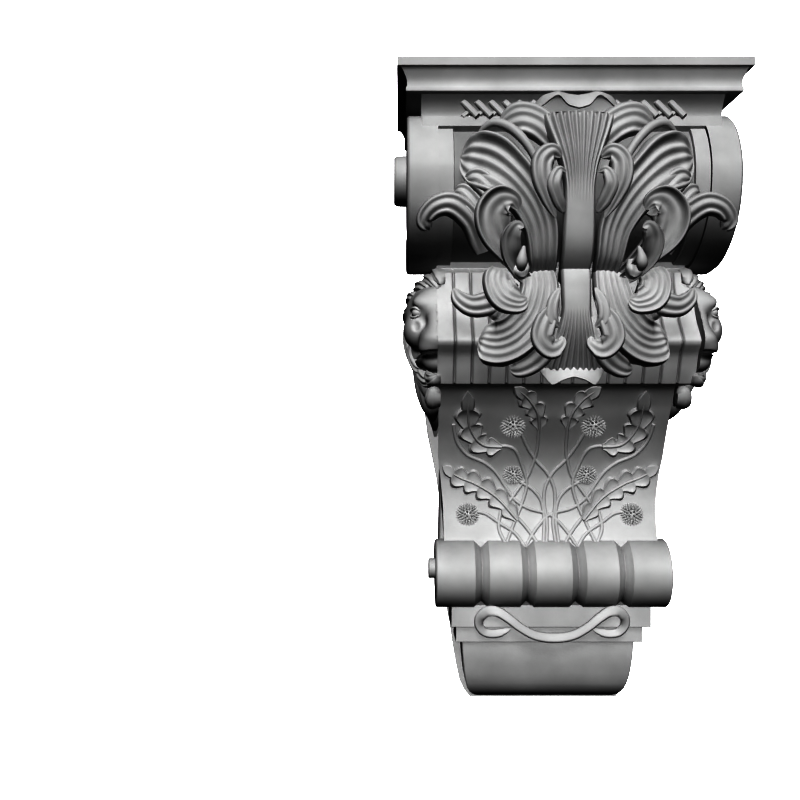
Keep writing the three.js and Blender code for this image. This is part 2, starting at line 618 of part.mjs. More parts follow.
// Lower acanthus leaf, hanging over the ribs with its tip curled forward
const LOWER_LOBES = [
  { route: [[23.2, 425, 203], [29.5, 400.3, 208], [39, 379, 206], [56.1, 363.7, 201],
      [73, 358.2, 193], [84, 362.7, 184]],
    half: [7, 10, 14, 17, 17, 9], flutes: 3, keel: 34, crown: 0.2, steps: 6 },
  { route: [[19.9, 385, 194], [23.5, 362.1, 193], [34.6, 346.5, 187], [50, 338.8, 178]],
    half: [8, 10, 10, 6], flutes: 1, keel: 26, crown: 0.25, steps: 4 },
  { route: [[15.9, 394.5, 207], [26.1, 378.6, 210], [28.9, 365.1, 209], [20.4, 357.5, 205], [12, 363.6, 201]],
    half: [3, 6, 7.5, 7, 3], flutes: 1, keel: 16, crown: 0.35, steps: 6 },
  { route: [[15.9, 404.2, 207], [21.4, 390.2, 211], [20.1, 378.7, 209], [13.6, 374.1, 205]],
    half: [3, 4.5, 4.5, 2.5], keel: 12, crown: 0.35, steps: 4 },
  { route: [[63.8, 428, 192], [65, 407.8, 207], [57.7, 396.7, 213], [46, 397, 210]],
    half: [10, 13, 12, 6], flutes: 2, keel: 38, crown: 0.35, steps: 5 },
  { route: [[66, 404, 192], [85.6, 396.2, 199], [97.1, 399.5, 195], [103.6, 408.2, 188]],
    half: [9, 8, 7, 3], flutes: 1, keel: 40, crown: 0.35, steps: 5 },
  { route: [[56, 402, 194], [66, 387.6, 196], [73.5, 380, 188]], half: [8, 8, 4], keel: 40,
      crown: 0.3, steps: 3 },
];
const LOWER_MIDRIB = [
  [428, 202, 11.1], [405.9, 207, 10.2], [388.9, 207, 9.4], [372.1, 203, 11], [359.6, 197, 15],
  [348.7, 190, 21], [341, 184, 26],
];
const LOWER_LIP = [[344, 170], [336, 171], [331, 176], [329.5, 183], [332, 188.5]];

// The sheet of the midrib: [height, projection, half width] rows, fluted where it fans out
function midribSheet(rows, keel, flutes) {
  const rings = rows.map(([z, p, half]) => {
    const ring = [];
    for (let j = 0; j <= flutes * 2; j += 1) {
      const s = j / flutes - 1;
      const groove = j % 2 === 1 ? 0 : -1.6 * THREE.MathUtils.clamp((half - 10) / 8, 0, 1);
      ring.push(at(s * half, p + groove - 0.18 * half * s * s, z));
    }
    ring.push(at(half * 0.9, p - keel, z), at(-half * 0.9, p - keel, z));
    return ring;
  });
  return toSolid(loft(rings, false));
}

// A curled lip across the leaf's tip, wavy in front view: [height, projection] route
function curledLip(route, halfWidth, thickness, wave) {
  const steps = 8;
  const rings = [];
  for (let i = 0; i <= steps; i += 1) {
    const s = (2 * i) / steps - 1;
    const dip = wave * Math.cos(s * Math.PI * 2) - Math.abs(wave) * 1.6 * s ** 4;
    const reach = 1 - 0.55 * s ** 4;
    const outer = route.map(([z, p], j) => at(
      s * halfWidth, route[0][1] + (p - route[0][1]) * reach, z + (dip * j) / (route.length - 1)));
    const inner = route.map(([z, p], j) => {
      const shift = thickness * (j / (route.length - 1) < 0.5 ? 1 : 0.8);
      return at(s * halfWidth * 0.97, route[0][1] + (p - route[0][1]) * reach - shift * 0.75,
        z + (dip * j) / (route.length - 1) - Math.sign(route[3][0] - route[0][0]) * shift * 0.7);
    });
    rings.push([...outer, ...inner.reverse()]);
  }
  return toSolid(loft(rings, false));
}

// The plain bed that the lobes of a leaf grow out of
const UPPER_BED = [
  [150, 415], [192, 415], [203, 440], [209, 470], [211, 500], [206, 525], [196, 545], [180, 540],
];
const LOWER_BED = [[138, 426], [188, 426], [192, 405], [184, 390], [172, 384], [150, 398]];

function acanthus(lobes, midrib, lip, options) {
  const parts = lobes.flatMap((form) => {
    const geometry = lobe(form);
    return [toSolid(geometry), toSolid(mirrored(geometry))];
  });
  return join([
    midribSheet(midrib, options.keel, options.flutes),
    curledLip(lip, options.lipHalfWidth, options.lipThickness, options.wave),
    sidePrism(options.bed, -options.bedHalfWidth, options.bedHalfWidth),
    ...parts,
  ]);
}

// Lion heads: the skull, muzzle and jaw are egg shapes, the mane is fluted lobes
const LION_EGGS = [
  { x: 117, p: 126, z: 388, r: [30, 36, 31] },
  { x: 122, p: 157, z: 369, r: [22, 22, 17] },
  { x: 119, p: 152, z: 349, r: [21, 17, 11] },
];
const LION_LOCKS = [
  { route: [[119, 424, 100], [124, 404, 82], [128, 372, 72], [127, 338, 76], [124, 308, 66], [118, 288, 44]],
    half: [9, 15, 18, 16, 13, 3], flutes: 3, keel: 14, crown: 0.25, ridge: 2.6, steps: 7 },
  { route: [[118, 420, 78], [122, 388, 58], [123, 352, 46], [122, 320, 44], [119, 296, 30], [116, 274, 25]],
    half: [4, 9, 14, 15, 9, 2], flutes: 2, keel: 12, crown: 0.25, ridge: 2.4, steps: 7 },
  { route: [[128, 416, 108], [135, 392, 96], [134, 366, 94], [128, 340, 96], [120, 318, 86]],
    half: [8, 10, 11, 9, 2], flutes: 2, keel: 18, crown: 0.3, ridge: 2.4, steps: 5 },
  { route: [[128, 356, 108], [128, 346, 124], [124, 340, 136]], half: [10, 8, 4], flutes: 2,
      keel: 14, crown: 0.3, steps: 3 },
  { route: [[126, 424, 102], [134, 432, 116], [130, 428, 134]], half: [8, 7, 3], keel: 12,
      crown: 0.3, steps: 2 },
];
function lionHead() {
  const eggs = LION_EGGS.map(({ x, p, z, r }) => {
    const egg = new THREE.SphereGeometry(1, 12, 7).scale(r[0], r[1], r[2]).translate(x, -p, z);
    return toSolid(egg);
  });
  const side = new THREE.Vector3(1, 0, 0);
  const locks = LION_LOCKS.map((form) => toSolid(lobe({ ...form, facing: side })));
  return join([...eggs, ...locks]);
}

// Ribbon bow that hangs in front of the steps
const RIBBON_ROUTE = [
  [58, 86, 64], [52, 93.5, 69], [65, 99.5, 75], [74, 96, 73], [71, 107, 76], [58, 113, 80], [42, 110, 84],
  [26, 95, 86], [10, 85, 86], [0, 83.5, 86],
];
function ribbon() {
  const half = RIBBON_ROUTE;
  const route = [...half, ...half.slice(0, -1).reverse().map(([x, z, p]) => [-x, z, p])];
  const curve = new THREE.CatmullRomCurve3(route.map(([x, z, p]) => at(x, p, z)));
  const section = new THREE.Shape([
    new THREE.Vector2(-5, -1.6), new THREE.Vector2(5, -1.6), new THREE.Vector2(5, 1.6),
    new THREE.Vector2(-5, 1.6),
  ]);
  return toSolid(new THREE.ExtrudeGeometry(section, { steps: 36, extrudePath: curve, bevelEnabled: false }));
}

// A plain block over the whole bracket, between two projections and two heights
const block = (near, far, low, high, halfWidth = 200) => sidePrism(
  [[near, low], [far, low], [far, high], [near, high]], -halfWidth, halfWidth);

// Space that the applied carvings leave free: the roll, frieze, tier and side
// fields they stand against, each grown by the joint gap
function frontClearance() {
  const gap = JOINT_GAP + 0.2;
  const roll = groovedPrism(rollArc(440, 272, 12), [[100, 450], [100, 560]], [
    [-160, -gap - 0.8], [-ROLL_BAND_INNER + 0.5, -gap - 0.8], [-ROLL_BAND_INNER + 0.6, 3 - gap],
    [-ROLL_STEP + 0.7, 3 - gap], [-ROLL_STEP + 0.8, 6 - gap], [ROLL_STEP - 0.8, 6 - gap],
    [ROLL_STEP - 0.7, 3 - gap], [ROLL_BAND_INNER - 0.6, 3 - gap], [ROLL_BAND_INNER - 0.5, -gap - 0.8],
    [160, -gap - 0.8],
  ]);
  const tier = groovedPrism(TIER_FRONT, [[92, 327], [92, 442]],
    [[-TIER_HALF_WIDTH - gap, -gap], [TIER_HALF_WIDTH + gap, -gap]]);
  const friezeSpace = sidePrism([
    [100, 543], [174.4, 543], [184.6, 551.4], [184.6, 561.2], [181.2, 563], [184.2, 569],
    [188.2, 574], [192, 578],
    [100, 578],
  ], -160, 160);
  return join([roll, tier, friezeSpace, block(11, 160, 430, 470),
      block(0, 300, CAP_UNDERSIDE - JOINT_GAP, 640)]);
}

function sideClearance() {
  const gap = JOINT_GAP;
  const field = sidePrism([[0, 0], [300, 0], [300, 640], [0, 640]], 0, SIDE_FIELD_HALF_WIDTH + gap);
  const tier = sidePrism([[91.5, 326], [180, 326], [180, 640], [91.5, 640]], 0, TIER_HALF_WIDTH + gap);
  const upper = sidePrism([[0, 470], [20, 470], ...rollArc(208, 330, 10, -1.2), [210, 640],
      [0, 640]], 0, 170);
  return join([field, tier, upper]);
}

function footClearance() {
  const gap = JOINT_GAP;
  const roll = turnedBar([[0, -130], [SMALL_ROLL_RADIUS + 1, -130], [SMALL_ROLL_RADIUS + 1, 130], [0, 130]],
    SMALL_ROLL_CENTRE, 20);
  return join([roll, block(0, UPPER_STEP.depth + 2 * gap, UPPER_STEP.bottom - gap, 120)]);
}

const relief = join([
  ...[carved(reededVolute()), bigEye(), carved(sideScroll()), sprays()]
    .flatMap((solid) => [solid, solid.mirror([1, 0, 0])]),
  carved(thistles()),
]);
const scroll = join([frieze(), bigRoll(), ribbedTier(), core(), smallRoll(), foot(), relief])
  .subtract(block(-20, BOARD_THICKNESS + JOINT_GAP, -10, 620))
  .subtract(block(0, 260, CAP_UNDERSIDE - JOINT_GAP, 640));

const LEAF_JOINT_HEIGHT = 423;
const clearance = frontClearance();
const upperLeaf = carved(acanthus(UPPER_LOBES, UPPER_MIDRIB, UPPER_LIP,
  { bed: UPPER_BED, bedHalfWidth: 72, keel: 34, flutes: 5, lipHalfWidth: 38, lipThickness: 7, wave: -2.5 }))
  .subtract(clearance)
  .subtract(block(0, 300, 300, LEAF_JOINT_HEIGHT + JOINT_GAP));
const lowerLeaf = carved(acanthus(LOWER_LOBES, LOWER_MIDRIB, LOWER_LIP,
  { bed: LOWER_BED, bedHalfWidth: 68, keel: 34, flutes: 4, lipHalfWidth: 26, lipThickness: 6, wave: 2 }))
  .subtract(clearance)
  .subtract(block(0, 300, LEAF_JOINT_HEIGHT, 600));
const lionRight = carved(lionHead()).subtract(sideClearance());
const bow = carved(ribbon()).subtract(footClearance());

const bracket = new THREE.Group();
bracket.position.z = -WALL_POINT_HEIGHT;
function addPiece(name, solid) {
  const mesh = new THREE.Mesh(toGeometry(mainPiece(tidied(solid, SLIVER_LENGTH, 0.9))),
      new THREE.MeshStandardMaterial(STONE));
  mesh.name = name;
  bracket.add(mesh);
}
addPiece('back_board', backBoard);
addPiece('cap_moulding', capSolid());
addPiece('console', tidied(scroll, EDGE_LENGTH, CONSOLE_STRAIGHTNESS));
addPiece('upper_acanthus_leaf', upperLeaf);
addPiece('lower_acanthus_leaf', lowerLeaf);
addPiece('lion_head_right', lionRight);
addPiece('lion_head_left', lionRight.mirror([1, 0, 0]));
addPiece('ribbon_bow', bow);

const whole = new THREE.Group();
whole.add(bracket);
export default whole;
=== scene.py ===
# A carved stone bracket (corbel), seen from the front in a soft studio.
# Metres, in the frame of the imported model: X right, -Y out from the wall, Z up.
import math

import bmesh
import bpy
import numpy as np
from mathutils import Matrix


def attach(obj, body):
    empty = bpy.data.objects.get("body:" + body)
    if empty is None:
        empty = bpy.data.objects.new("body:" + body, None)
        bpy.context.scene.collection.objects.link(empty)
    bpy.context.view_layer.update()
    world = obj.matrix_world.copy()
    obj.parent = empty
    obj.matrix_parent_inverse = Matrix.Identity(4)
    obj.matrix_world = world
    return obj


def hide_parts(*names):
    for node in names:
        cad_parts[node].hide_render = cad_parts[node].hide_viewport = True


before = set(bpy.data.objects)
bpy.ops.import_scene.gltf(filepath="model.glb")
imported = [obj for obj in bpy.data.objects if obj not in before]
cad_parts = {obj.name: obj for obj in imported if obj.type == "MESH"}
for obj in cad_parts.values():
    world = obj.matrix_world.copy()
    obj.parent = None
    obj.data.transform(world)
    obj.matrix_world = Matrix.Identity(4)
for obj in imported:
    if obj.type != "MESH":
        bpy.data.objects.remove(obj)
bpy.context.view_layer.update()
bpy.ops.object.select_all(action="DESELECT")


# Camera: level, about a metre from the wall, left of the bracket's middle and 45 degrees wide
CAMERA_PLACE = (-0.1505, -1.0287, 0.0093)
LEVEL = (math.pi / 2, 0, 0)
bpy.ops.object.camera_add(location=CAMERA_PLACE, rotation=LEVEL)
camera = bpy.context.object
camera.data.sensor_width = 36
camera.data.lens = 43.456
camera.data.clip_end = 30
bpy.context.scene.camera = camera


# Room: white paper all round, which is seen but casts no light or shadow on the stone
ROOM_SIZE = 14
PAPER_COLOUR = (0.9, 0.9, 0.9, 1)
PAPER_GLOW = 1.6


def white_paper():
    paper = bpy.data.materials.new("white_paper")
    paper.use_nodes = True
    skin = paper.node_tree.nodes["Principled BSDF"]
    skin.inputs["Base Color"].default_value = PAPER_COLOUR
    skin.inputs["Roughness"].default_value = 1
    skin.inputs["Emission Color"].default_value = (1, 1, 1, 1)
    skin.inputs["Emission Strength"].default_value = PAPER_GLOW
    return paper


bpy.ops.mesh.primitive_cube_add(size=ROOM_SIZE)
backdrop = bpy.context.object
backdrop.name = "backdrop"
backdrop.data.materials.append(white_paper())
backdrop.visible_diffuse = False
backdrop.visible_glossy = False
backdrop.visible_shadow = False


# Light: the sky in front of the bracket. About an eighth of it casts soft shadows, and the rest,
# like the light that a white room throws back, reaches into the hollows. Angles are in degrees.
SKY_HEIGHT = 29
SKY_TURN = -4
SKY_SPREAD = 14
WITH_SHADOW = 0.8
WITHOUT_SHADOW = 5.2
ROOM_LIGHT = 0.035
PICTURE_GAMMA = 0.3


def sky_light(name, strength, casts_shadow):
    light = bpy.data.lights.new(name, "SUN")
    light.energy = strength
    light.angle = math.radians(SKY_SPREAD)
    light.use_shadow = casts_shadow
    lamp = bpy.data.objects.new(name, light)
    lamp.rotation_euler = (math.radians(90 - SKY_HEIGHT), 0, math.radians(SKY_TURN))
    bpy.context.collection.objects.link(lamp)


sky_light("sky_with_shadow", WITH_SHADOW, True)
sky_light("sky_without_shadow", WITHOUT_SHADOW, False)
world = bpy.data.worlds.new("studio")
world.use_nodes = True
world.node_tree.nodes["Background"].inputs["Color"].default_value = (1, 1, 1, 1)
world.node_tree.nodes["Background"].inputs["Strength"].default_value = ROOM_LIGHT
bpy.context.scene.world = world
bpy.context.scene.view_settings.view_transform = "Standard"
bpy.context.scene.view_settings.gamma = PICTURE_GAMMA


# Stone: one grey stone for every piece, honed, with a fine grain and soft clouds, and painted shade that
# makes it darker in the hollows, found by the mesh's pointiness
CLOUD_SCALE = 24
DARK_CLOUD = (0.4, 0.4, 0.4, 1)
PALE_CLOUD = (0.45, 0.45, 0.45, 1)
# Painted shade: how dark the deepest hollows are painted
PAINTED_HOLLOW_SHADE = 0.6
GRAIN_SCALE = 1100
GRAIN_DEPTH = 0.0003


def grey_stone():
    stone = bpy.data.materials.new("grey_stone")
    stone.use_nodes = True
    nodes = stone.node_tree.nodes
    link = stone.node_tree.links.new
    skin = nodes["Principled BSDF"]
    place = nodes.new("ShaderNodeTexCoord")
    clouds = nodes.new("ShaderNodeTexNoise")
    clouds.inputs["Scale"].default_value = CLOUD_SCALE
    clouds.inputs["Detail"].default_value = 7
    tone = nodes.new("ShaderNodeValToRGB")
    tone.color_ramp.elements[0].position = 0.3
    tone.color_ramp.elements[0].color = DARK_CLOUD
    tone.color_ramp.elements[1].position = 0.7
    tone.color_ramp.elements[1].color = PALE_CLOUD
    shape = nodes.new("ShaderNodeNewGeometry")
    # Painted shade: concave places, by pointiness, are darkened down to the hollow shade value, while flat
    # and convex places stay at full tone
    painted_shade_map = nodes.new("ShaderNodeMapRange")
    painted_shade_map.inputs["From Min"].default_value = 0.4
    painted_shade_map.inputs["From Max"].default_value = 0.5
    painted_shade_map.inputs["To Min"].default_value = PAINTED_HOLLOW_SHADE
    painted_shade_map.inputs["To Max"].default_value = 1
    # Multiplies the painted hollow shade into the stone's cloud colour
    painted_shade_mix = nodes.new("ShaderNodeMix")
    painted_shade_mix.data_type = "RGBA"
    painted_shade_mix.blend_type = "MULTIPLY"
    painted_shade_mix.inputs["Factor"].default_value = 1
    grain = nodes.new("ShaderNodeTexNoise")
    grain.inputs["Scale"].default_value = GRAIN_SCALE
    grain.inputs["Detail"].default_value = 3
    bump = nodes.new("ShaderNodeBump")
    bump.inputs["Strength"].default_value = 0.1
    bump.inputs["Distance"].default_value = GRAIN_DEPTH
    for texture in (clouds, grain):
        link(place.outputs["Object"], texture.inputs["Vector"])
    link(clouds.outputs["Fac"], tone.inputs["Fac"])
    link(shape.outputs["Pointiness"], painted_shade_map.inputs["Value"])
    link(tone.outputs["Color"], painted_shade_mix.inputs["A"])
    link(painted_shade_map.outputs["Result"], painted_shade_mix.inputs["B"])
    link(painted_shade_mix.outputs["Result"], skin.inputs["Base Color"])
    link(grain.outputs["Fac"], bump.inputs["Height"])
    link(bump.outputs["Normal"], skin.inputs["Normal"])
    skin.inputs["Roughness"].default_value = 0.6
    skin.inputs["Specular IOR Level"].default_value = 0.25
    return stone


STONE = grey_stone()
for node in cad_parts.values():
    node.data.materials.clear()
    node.data.materials.append(STONE)


# Back board: one flat slab of the stone with a shield-shaped foot, bedded against the wall, its
# sharp edges rubbed off. Rows are (half width, height above the foot), in millimetres as are all
# sizes below. placed() takes (x, projection, height) to the frame.
MM = 0.001
WALL_POINT = 303
BOARD_THICKNESS = 11
BOARD_ROWS = [
    (77, 0), (83.5, 8), (88, 18), (91, 32), (94, 49), (98, 75), (101.5, 94), (104.4, 124), (106, 156),
    (107, 196), (112, 229), (118.7, 262), (121.6, 276), (124.5, 300), (124.5, 577.7),
]


def placed(points):
    points = np.asarray(points, float).reshape(-1, 3)
    return np.column_stack([points[:, 0], -points[:, 1], points[:, 2] - WALL_POINT]) * MM


def loft(rings):
    """A closed shell through rings of equally many points, with its two ends filled in."""
    rings = np.asarray(rings, float)
    count, size = rings.shape[:2]
    faces = [
        (i * size + j, i * size + (j + 1) % size, (i + 1) * size + (j + 1) % size, (i + 1) * size + j)
        for i in range(count - 1) for j in range(size)]
    faces += [tuple(range(size)), tuple(range((count - 1) * size, count * size))]
    return rings.reshape(-1, 3), faces


def stone_piece(name, shells, nodes, crease=38):
    """One object from closed shells, creased where its faces turn sharply."""
    mesh = bpy.data.meshes.new(name)
    points, faces, start = [], [], 0
    for shell_points, shell_faces in shells:
        points.append(placed(shell_points))
        faces += [tuple(corner + start for corner in face) for face in shell_faces]
        start += len(shell_points)
    mesh.from_pydata(np.vstack(points).tolist(), [], faces)
    work = bmesh.new()
    work.from_mesh(mesh)
    bmesh.ops.recalc_face_normals(work, faces=work.faces[:])
    for edge in work.edges:
        edge.smooth = edge.calc_face_angle(0) < math.radians(crease)
    for face in work.faces:
        face.smooth = True
    work.to_mesh(mesh)
    work.free()
    piece = bpy.data.objects.new(name, mesh)
    bpy.context.collection.objects.link(piece)
    mesh.materials.append(STONE)
    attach(piece, "root")
    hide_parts(*nodes)
    return piece


def worn_edges(piece, width, angle):
    """Takes the sharp edge off a plain piece, as a mason's rubbing does."""
    bpy.ops.object.select_all(action="DESELECT")
    piece.select_set(True)
    bpy.context.view_layer.objects.active = piece
    bevel = piece.modifiers.new("worn_edges", "BEVEL")
    bevel.width = width * MM
    bevel.segments = 2
    bevel.limit_method = "ANGLE"
    bevel.angle_limit = math.radians(angle)
    bevel.harden_normals = True
    bpy.ops.object.modifier_apply(modifier=bevel.name)


board_outline = BOARD_ROWS + [(-half, height) for half, height in reversed(BOARD_ROWS)]
board_faces = [[(x, depth, height) for x, height in board_outline] for depth in (0, BOARD_THICKNESS)]
back_board = stone_piece("back_board_stone", [loft(board_faces)], ["back_board"])
worn_edges(back_board, width=0.5, angle=50)


# Cap: the slab of stone that carries the load, bedded on the board and the console. A fascia over
# a cove and a small fillet run round its three free sides, and the wall side stays flat. Rows are
# (inset from the fascia, height); the front is cut back less than the sides.
CROWN_HALF_WIDTH = 153
CROWN_DEPTH = 204
FRONT_SHARE = 0.85
CAP_UNDERSIDE = 578
CAP_ROWS = [
    (0.5, 606), (0, 605.5), (0, 598.6), (0.4, 598.2), (3, 598), (3.8, 597.3), (4.6, 596.2), (5.3, 595),
    (6, 593.6), (6.7, 592.2), (7.3, 590.8), (7.8, 589.4), (8.2, 588), (8.4, 586.4), (8.4, 584.6),
    (8.2, 583), (7.8, 581.8), (7.4, 581.2), (7.4, 578.5), (7.9, CAP_UNDERSIDE),
]
cap_rings = []
for inset, height in CAP_ROWS:
    front, half = CROWN_DEPTH - FRONT_SHARE * inset, CROWN_HALF_WIDTH - inset
    cap_rings.append([(-half, 0, height), (-half, front, height), (half, front, height), (half, 0, height)])
stone_piece("cap_moulding_stone", [loft(cap_rings)], ["cap_moulding"], crease=30)


# Console: the scroll body, carved from one block of the stone and bedded on the board: the big
# roll with its reeded volutes, frieze, ribs, hollow panel, small roll and foot. Outlines are
# (projection, height), the volute's rows (degrees from the front, radius), the panel's widths
# (height, half width).
BACK = BOARD_THICKNESS + 0.3
ROLL_CENTRE = (128, 516)
ROLL_HALF_WIDTH = 141.5
SLAB_HALF_WIDTH = 130
ROLL_BAND_INNER = 117
FIELD_HALF_WIDTH = 113
TIER_HALF_WIDTH = 117
ROLL_STATIONS = [(-118, 3), (-104, 3), (-103.5, 6), (103.5, 6), (104, 3), (118, 3)]
RIB_GROOVES = (101.2, 85.4, 69.6, 53.8, 38, 22, 6)
GROOVE_SECTION = ((1.7, 0), (0.8, 0.9), (0.3, 2.4), (-0.3, 2.4), (-0.8, 0.9), (-1.7, 0))
VOLUTE_EYE = [
    (23.5, 135), (23, 153), (21.6, 155.6), (21, 156), (16.5, 156), (15.6, 155.4), (14.2, 144.6),
    (13.2, 144), (0.2, 144),
]
BAND_OUTER = [
    (180, 112.5), (208, 103), (230, 95.8), (266, 82.3), (298, 77.8), (331, 76.3), (360, 73.5),
    (387, 68), (417, 61.3), (450, 52), (495, 50), (540, 49.5), (585, 49), (630, 48), (675, 46),
    (720, 41.5), (746, 34.8),
]
BAND_INNER = [
    (180, 86), (208, 79), (230, 71), (266, 57), (298, 52), (331, 49), (360, 45.5), (387, 41),
    (417, 37), (450, 33.5), (495, 30), (540, 28.5), (585, 28), (630, 28), (675, 28), (720, 29.5),
    (746, 34),
]
TIER_FRONT = [
    (137, 430), (139, 420), (144, 410), (149, 402), (152, 394), (158, 383), (166, 374), (170.5, 368.6),
    (172.2, 366), (172, 363.5), (170.2, 360.2), (165, 356), (161.5, 350), (159, 343), (156, 335), (152, 327),
]
PANEL_FRONT = [
    (111, 328.6), (101.6, 322), (91.7, 309), (84, 295), (75.4, 280.5), (67, 265), (60.5, 251),
    (55.5, 236), (53.9, 223), (53.9, 211), (55.5, 198), (59.3, 185), (65.4, 170),
]
PANEL_WIDTHS = [(100, 102), (120, 105.5), (205, 107.3), (230, 109.5), (255, 112.4), (300, 113), (525, 113)]
SMALL_ROLL_CENTRE = (58, 138.8)
SMALL_ROLL_RADIUS = 33.8
SMALL_ROLL_GROOVES = (-70, -24.5, 24.5, 70)
GROOVE_BOTTOM = 27.6
SCROLL_EYE_CENTRE = (55, 143)
SCROLL_EYE = [(9, -122), (10, -121), (10, 121), (9, 122)]


def mirrored(shells):
    return shells + [(points * (-1, 1, 1), faces) for points, faces in shells]


def curve_through(points, count):
    """Evenly many points on a smooth curve through the given ones."""
    points = np.atleast_2d(np.array(points, float))
    points = np.vstack([2 * points[0] - points[1], points, 2 * points[-1] - points[-2]])
    knots = np.concatenate([[0], np.cumsum(np.sqrt(np.linalg.norm(np.diff(points, axis=0), axis=1)))])
    curve = []
    for value in np.linspace(knots[1], knots[-2], count):
        i = min(max(int(np.searchsorted(knots, value, side="right")) - 1, 1), len(points) - 3)
        p, t = points[i - 1:i + 3], knots[i - 1:i + 3]
        a = [((t[k + 1] - value) * p[k] + (value - t[k]) * p[k + 1]) / (t[k + 1] - t[k]) for k in range(3)]
        b = [((t[k + 2] - value) * a[k] + (value - t[k]) * a[k + 1]) / (t[k + 2] - t[k]) for k in range(2)]
        curve.append(((t[2] - value) * b[0] + (value - t[1]) * b[1]) / (t[2] - t[1]))
    return np.array(curve)


def prism(outline, left, right):
    return loft([[(x, depth, height) for depth, height in outline] for x in (left, right)])


def both_sides(outline, near, far):
    return [prism(outline, near, far), prism(outline, -far, -near)]


def grooved(front, rest, stations):
    """An outline run across the bracket, its front drawn in at some stations, (x, depth)."""
    front = np.array(front, float)
    slope = np.gradient(front, axis=0)
    slope /= np.linalg.norm(slope, axis=1)[:, None]
    inward = np.column_stack([slope[:, 1], -slope[:, 0]])
    rings = []
    for x, depth in stations:
        outline = np.vstack([front + inward * depth, rest])
        rings.append(np.column_stack([np.full(len(outline), x), outline]))
    return loft(rings)


def turned(rows, centre, sides=72):
    """A round bar along X, from (radius, x) rows, with a flat at each end."""
    angles = np.linspace(0, 2 * math.pi, sides, endpoint=False)
    return loft([
        np.column_stack([np.full(sides, x), centre[0] + radius * np.cos(angles),
                         centre[1] + radius * np.sin(angles)]) for radius, x in rows])


def reeded(outer, inner, reeds, faces, rise, sunk):
    """A band of rounded reeds that stands on a side face, between two edges."""
    share = np.linspace(0, 1, reeds * 8 + 1)
    lift = np.abs(np.sin(np.pi * share * reeds)) ** 0.7
    rings = []
    for (po, zo), (pi, zi), face in zip(outer, inner, faces):
        height = rise * min(1, math.hypot(po - pi, zo - zi) / 12)
        ring = [(face + height * up, po + (pi - po) * s, zo + (zi - zo) * s) for s, up in zip(share, lift)]
        ring += [(face - sunk, pi + (po - pi) * 0.05, zi + (zo - zi) * 0.05),
                 (face - sunk, po + (pi - po) * 0.05, zo + (zi - zo) * 0.05)]
        rings.append(ring)
    return loft(rings)


def on_circle(centre, radius, degrees):
    turn = math.radians(degrees)
    return centre[0] + radius * math.cos(turn), centre[1] + radius * math.sin(turn)


def roll_arc(start, end, steps):
    rows = np.array(BAND_OUTER)
    return [on_circle(ROLL_CENTRE, np.interp(angle, rows[:, 0], rows[:, 1]), angle)
            for angle in np.linspace(start, end, steps)]


# The roll between its two side slabs and the discs that stand on them
disc = roll_arc(212, 540, 100)
slab = [(BACK, 577.7), (BACK, 516)] + roll_arc(184, 420, 70) + [(158, 577.7)]
behind = [(BACK, 577.7), (BACK, 516)] + roll_arc(184, 264, 30) + [(132, 450), (132, 577.7)]
console = [grooved(roll_arc(440, 272, 60), [(100, 450), (100, 560)], ROLL_STATIONS),
           prism(behind, -SLAB_HALF_WIDTH, SLAB_HALF_WIDTH)]
console += both_sides(slab, ROLL_BAND_INNER, SLAB_HALF_WIDTH)
console += both_sides(disc, ROLL_BAND_INNER, ROLL_HALF_WIDTH)

# The volute's band comes down the back, sweeps under the roll and winds in to a point
band_angles = np.linspace(180, 746, 170)
outer_rows, inner_rows = np.array(BAND_OUTER), np.array(BAND_INNER)
band_outer = [(15.5, 577), (15.5, 560), (15.5, 545)] + [
    on_circle(ROLL_CENTRE, np.interp(a, outer_rows[:, 0], outer_rows[:, 1]), a) for a in band_angles]
band_inner = [(42, 577), (42, 560), (42, 545)] + [
    on_circle(ROLL_CENTRE, np.interp(a, inner_rows[:, 0], inner_rows[:, 1]), a) for a in band_angles]
band_faces = np.minimum(
    SLAB_HALF_WIDTH + 1 + np.linspace(0, 150, len(band_outer)), ROLL_HALF_WIDTH + 0.7)
volute = reeded(band_outer, band_inner, reeds=4, faces=band_faces, rise=2.4, sunk=9)
console += mirrored([volute, turned(VOLUTE_EYE, ROLL_CENTRE)])

# Frieze: a cove, the fillet under it, and a cord of slanting bars with finer strands between.
# Bars are (top, foot, half width, projection), their ends (x, height) from the cord's turn.
CORD_BED = 178
CORD_LINE = 566.5
CORD_TURNS = np.linspace(-89.4, 91.3, 16)
CORD_BARS = [((-7.2, 574), (7.2, 559.5), 2.7, 187.6), ((-0.5, 565), (-7, 559.5), 2, 184.6)]
cove = [(BACK, 577.7), (191, 577.7), (188.6, 575.4), (186, 572.4), (183.8, 569.4), (182, 566),
        (180.8, 562.5), (180, 558), (180, 552), (BACK, 552)]
fillet = [(BACK, 560.5), (184, 560.5), (184, 552), (174, 544), (BACK, 544)]
console += [prism(cove, -132, 132), prism(fillet, -131, 131)]
for turn in CORD_TURNS:
    for top, foot, half, proud in CORD_BARS:
        slope = np.array([foot[0] - top[0], 0, foot[1] - top[1]])
        across = np.array([slope[2], 0, -slope[0]]) / np.linalg.norm(slope) * half
        rings = []
        for end, reach, lift in ((top, 1, 0.7), (top, 0.86, 1), (foot, 0.86, 1), (foot, 1, 0.7)):
            centre = np.array([turn + end[0] * reach, CORD_BED, CORD_LINE + (end[1] - CORD_LINE) * reach])
            rise = (proud - CORD_BED) * lift
            rings.append([
                centre + across, centre + across + (0, rise - 1, 0), centre + across * 0.6 + (0, rise, 0),
                centre - across * 0.6 + (0, rise, 0), centre - across + (0, rise - 1, 0), centre - across])
        console.append(loft(rings))

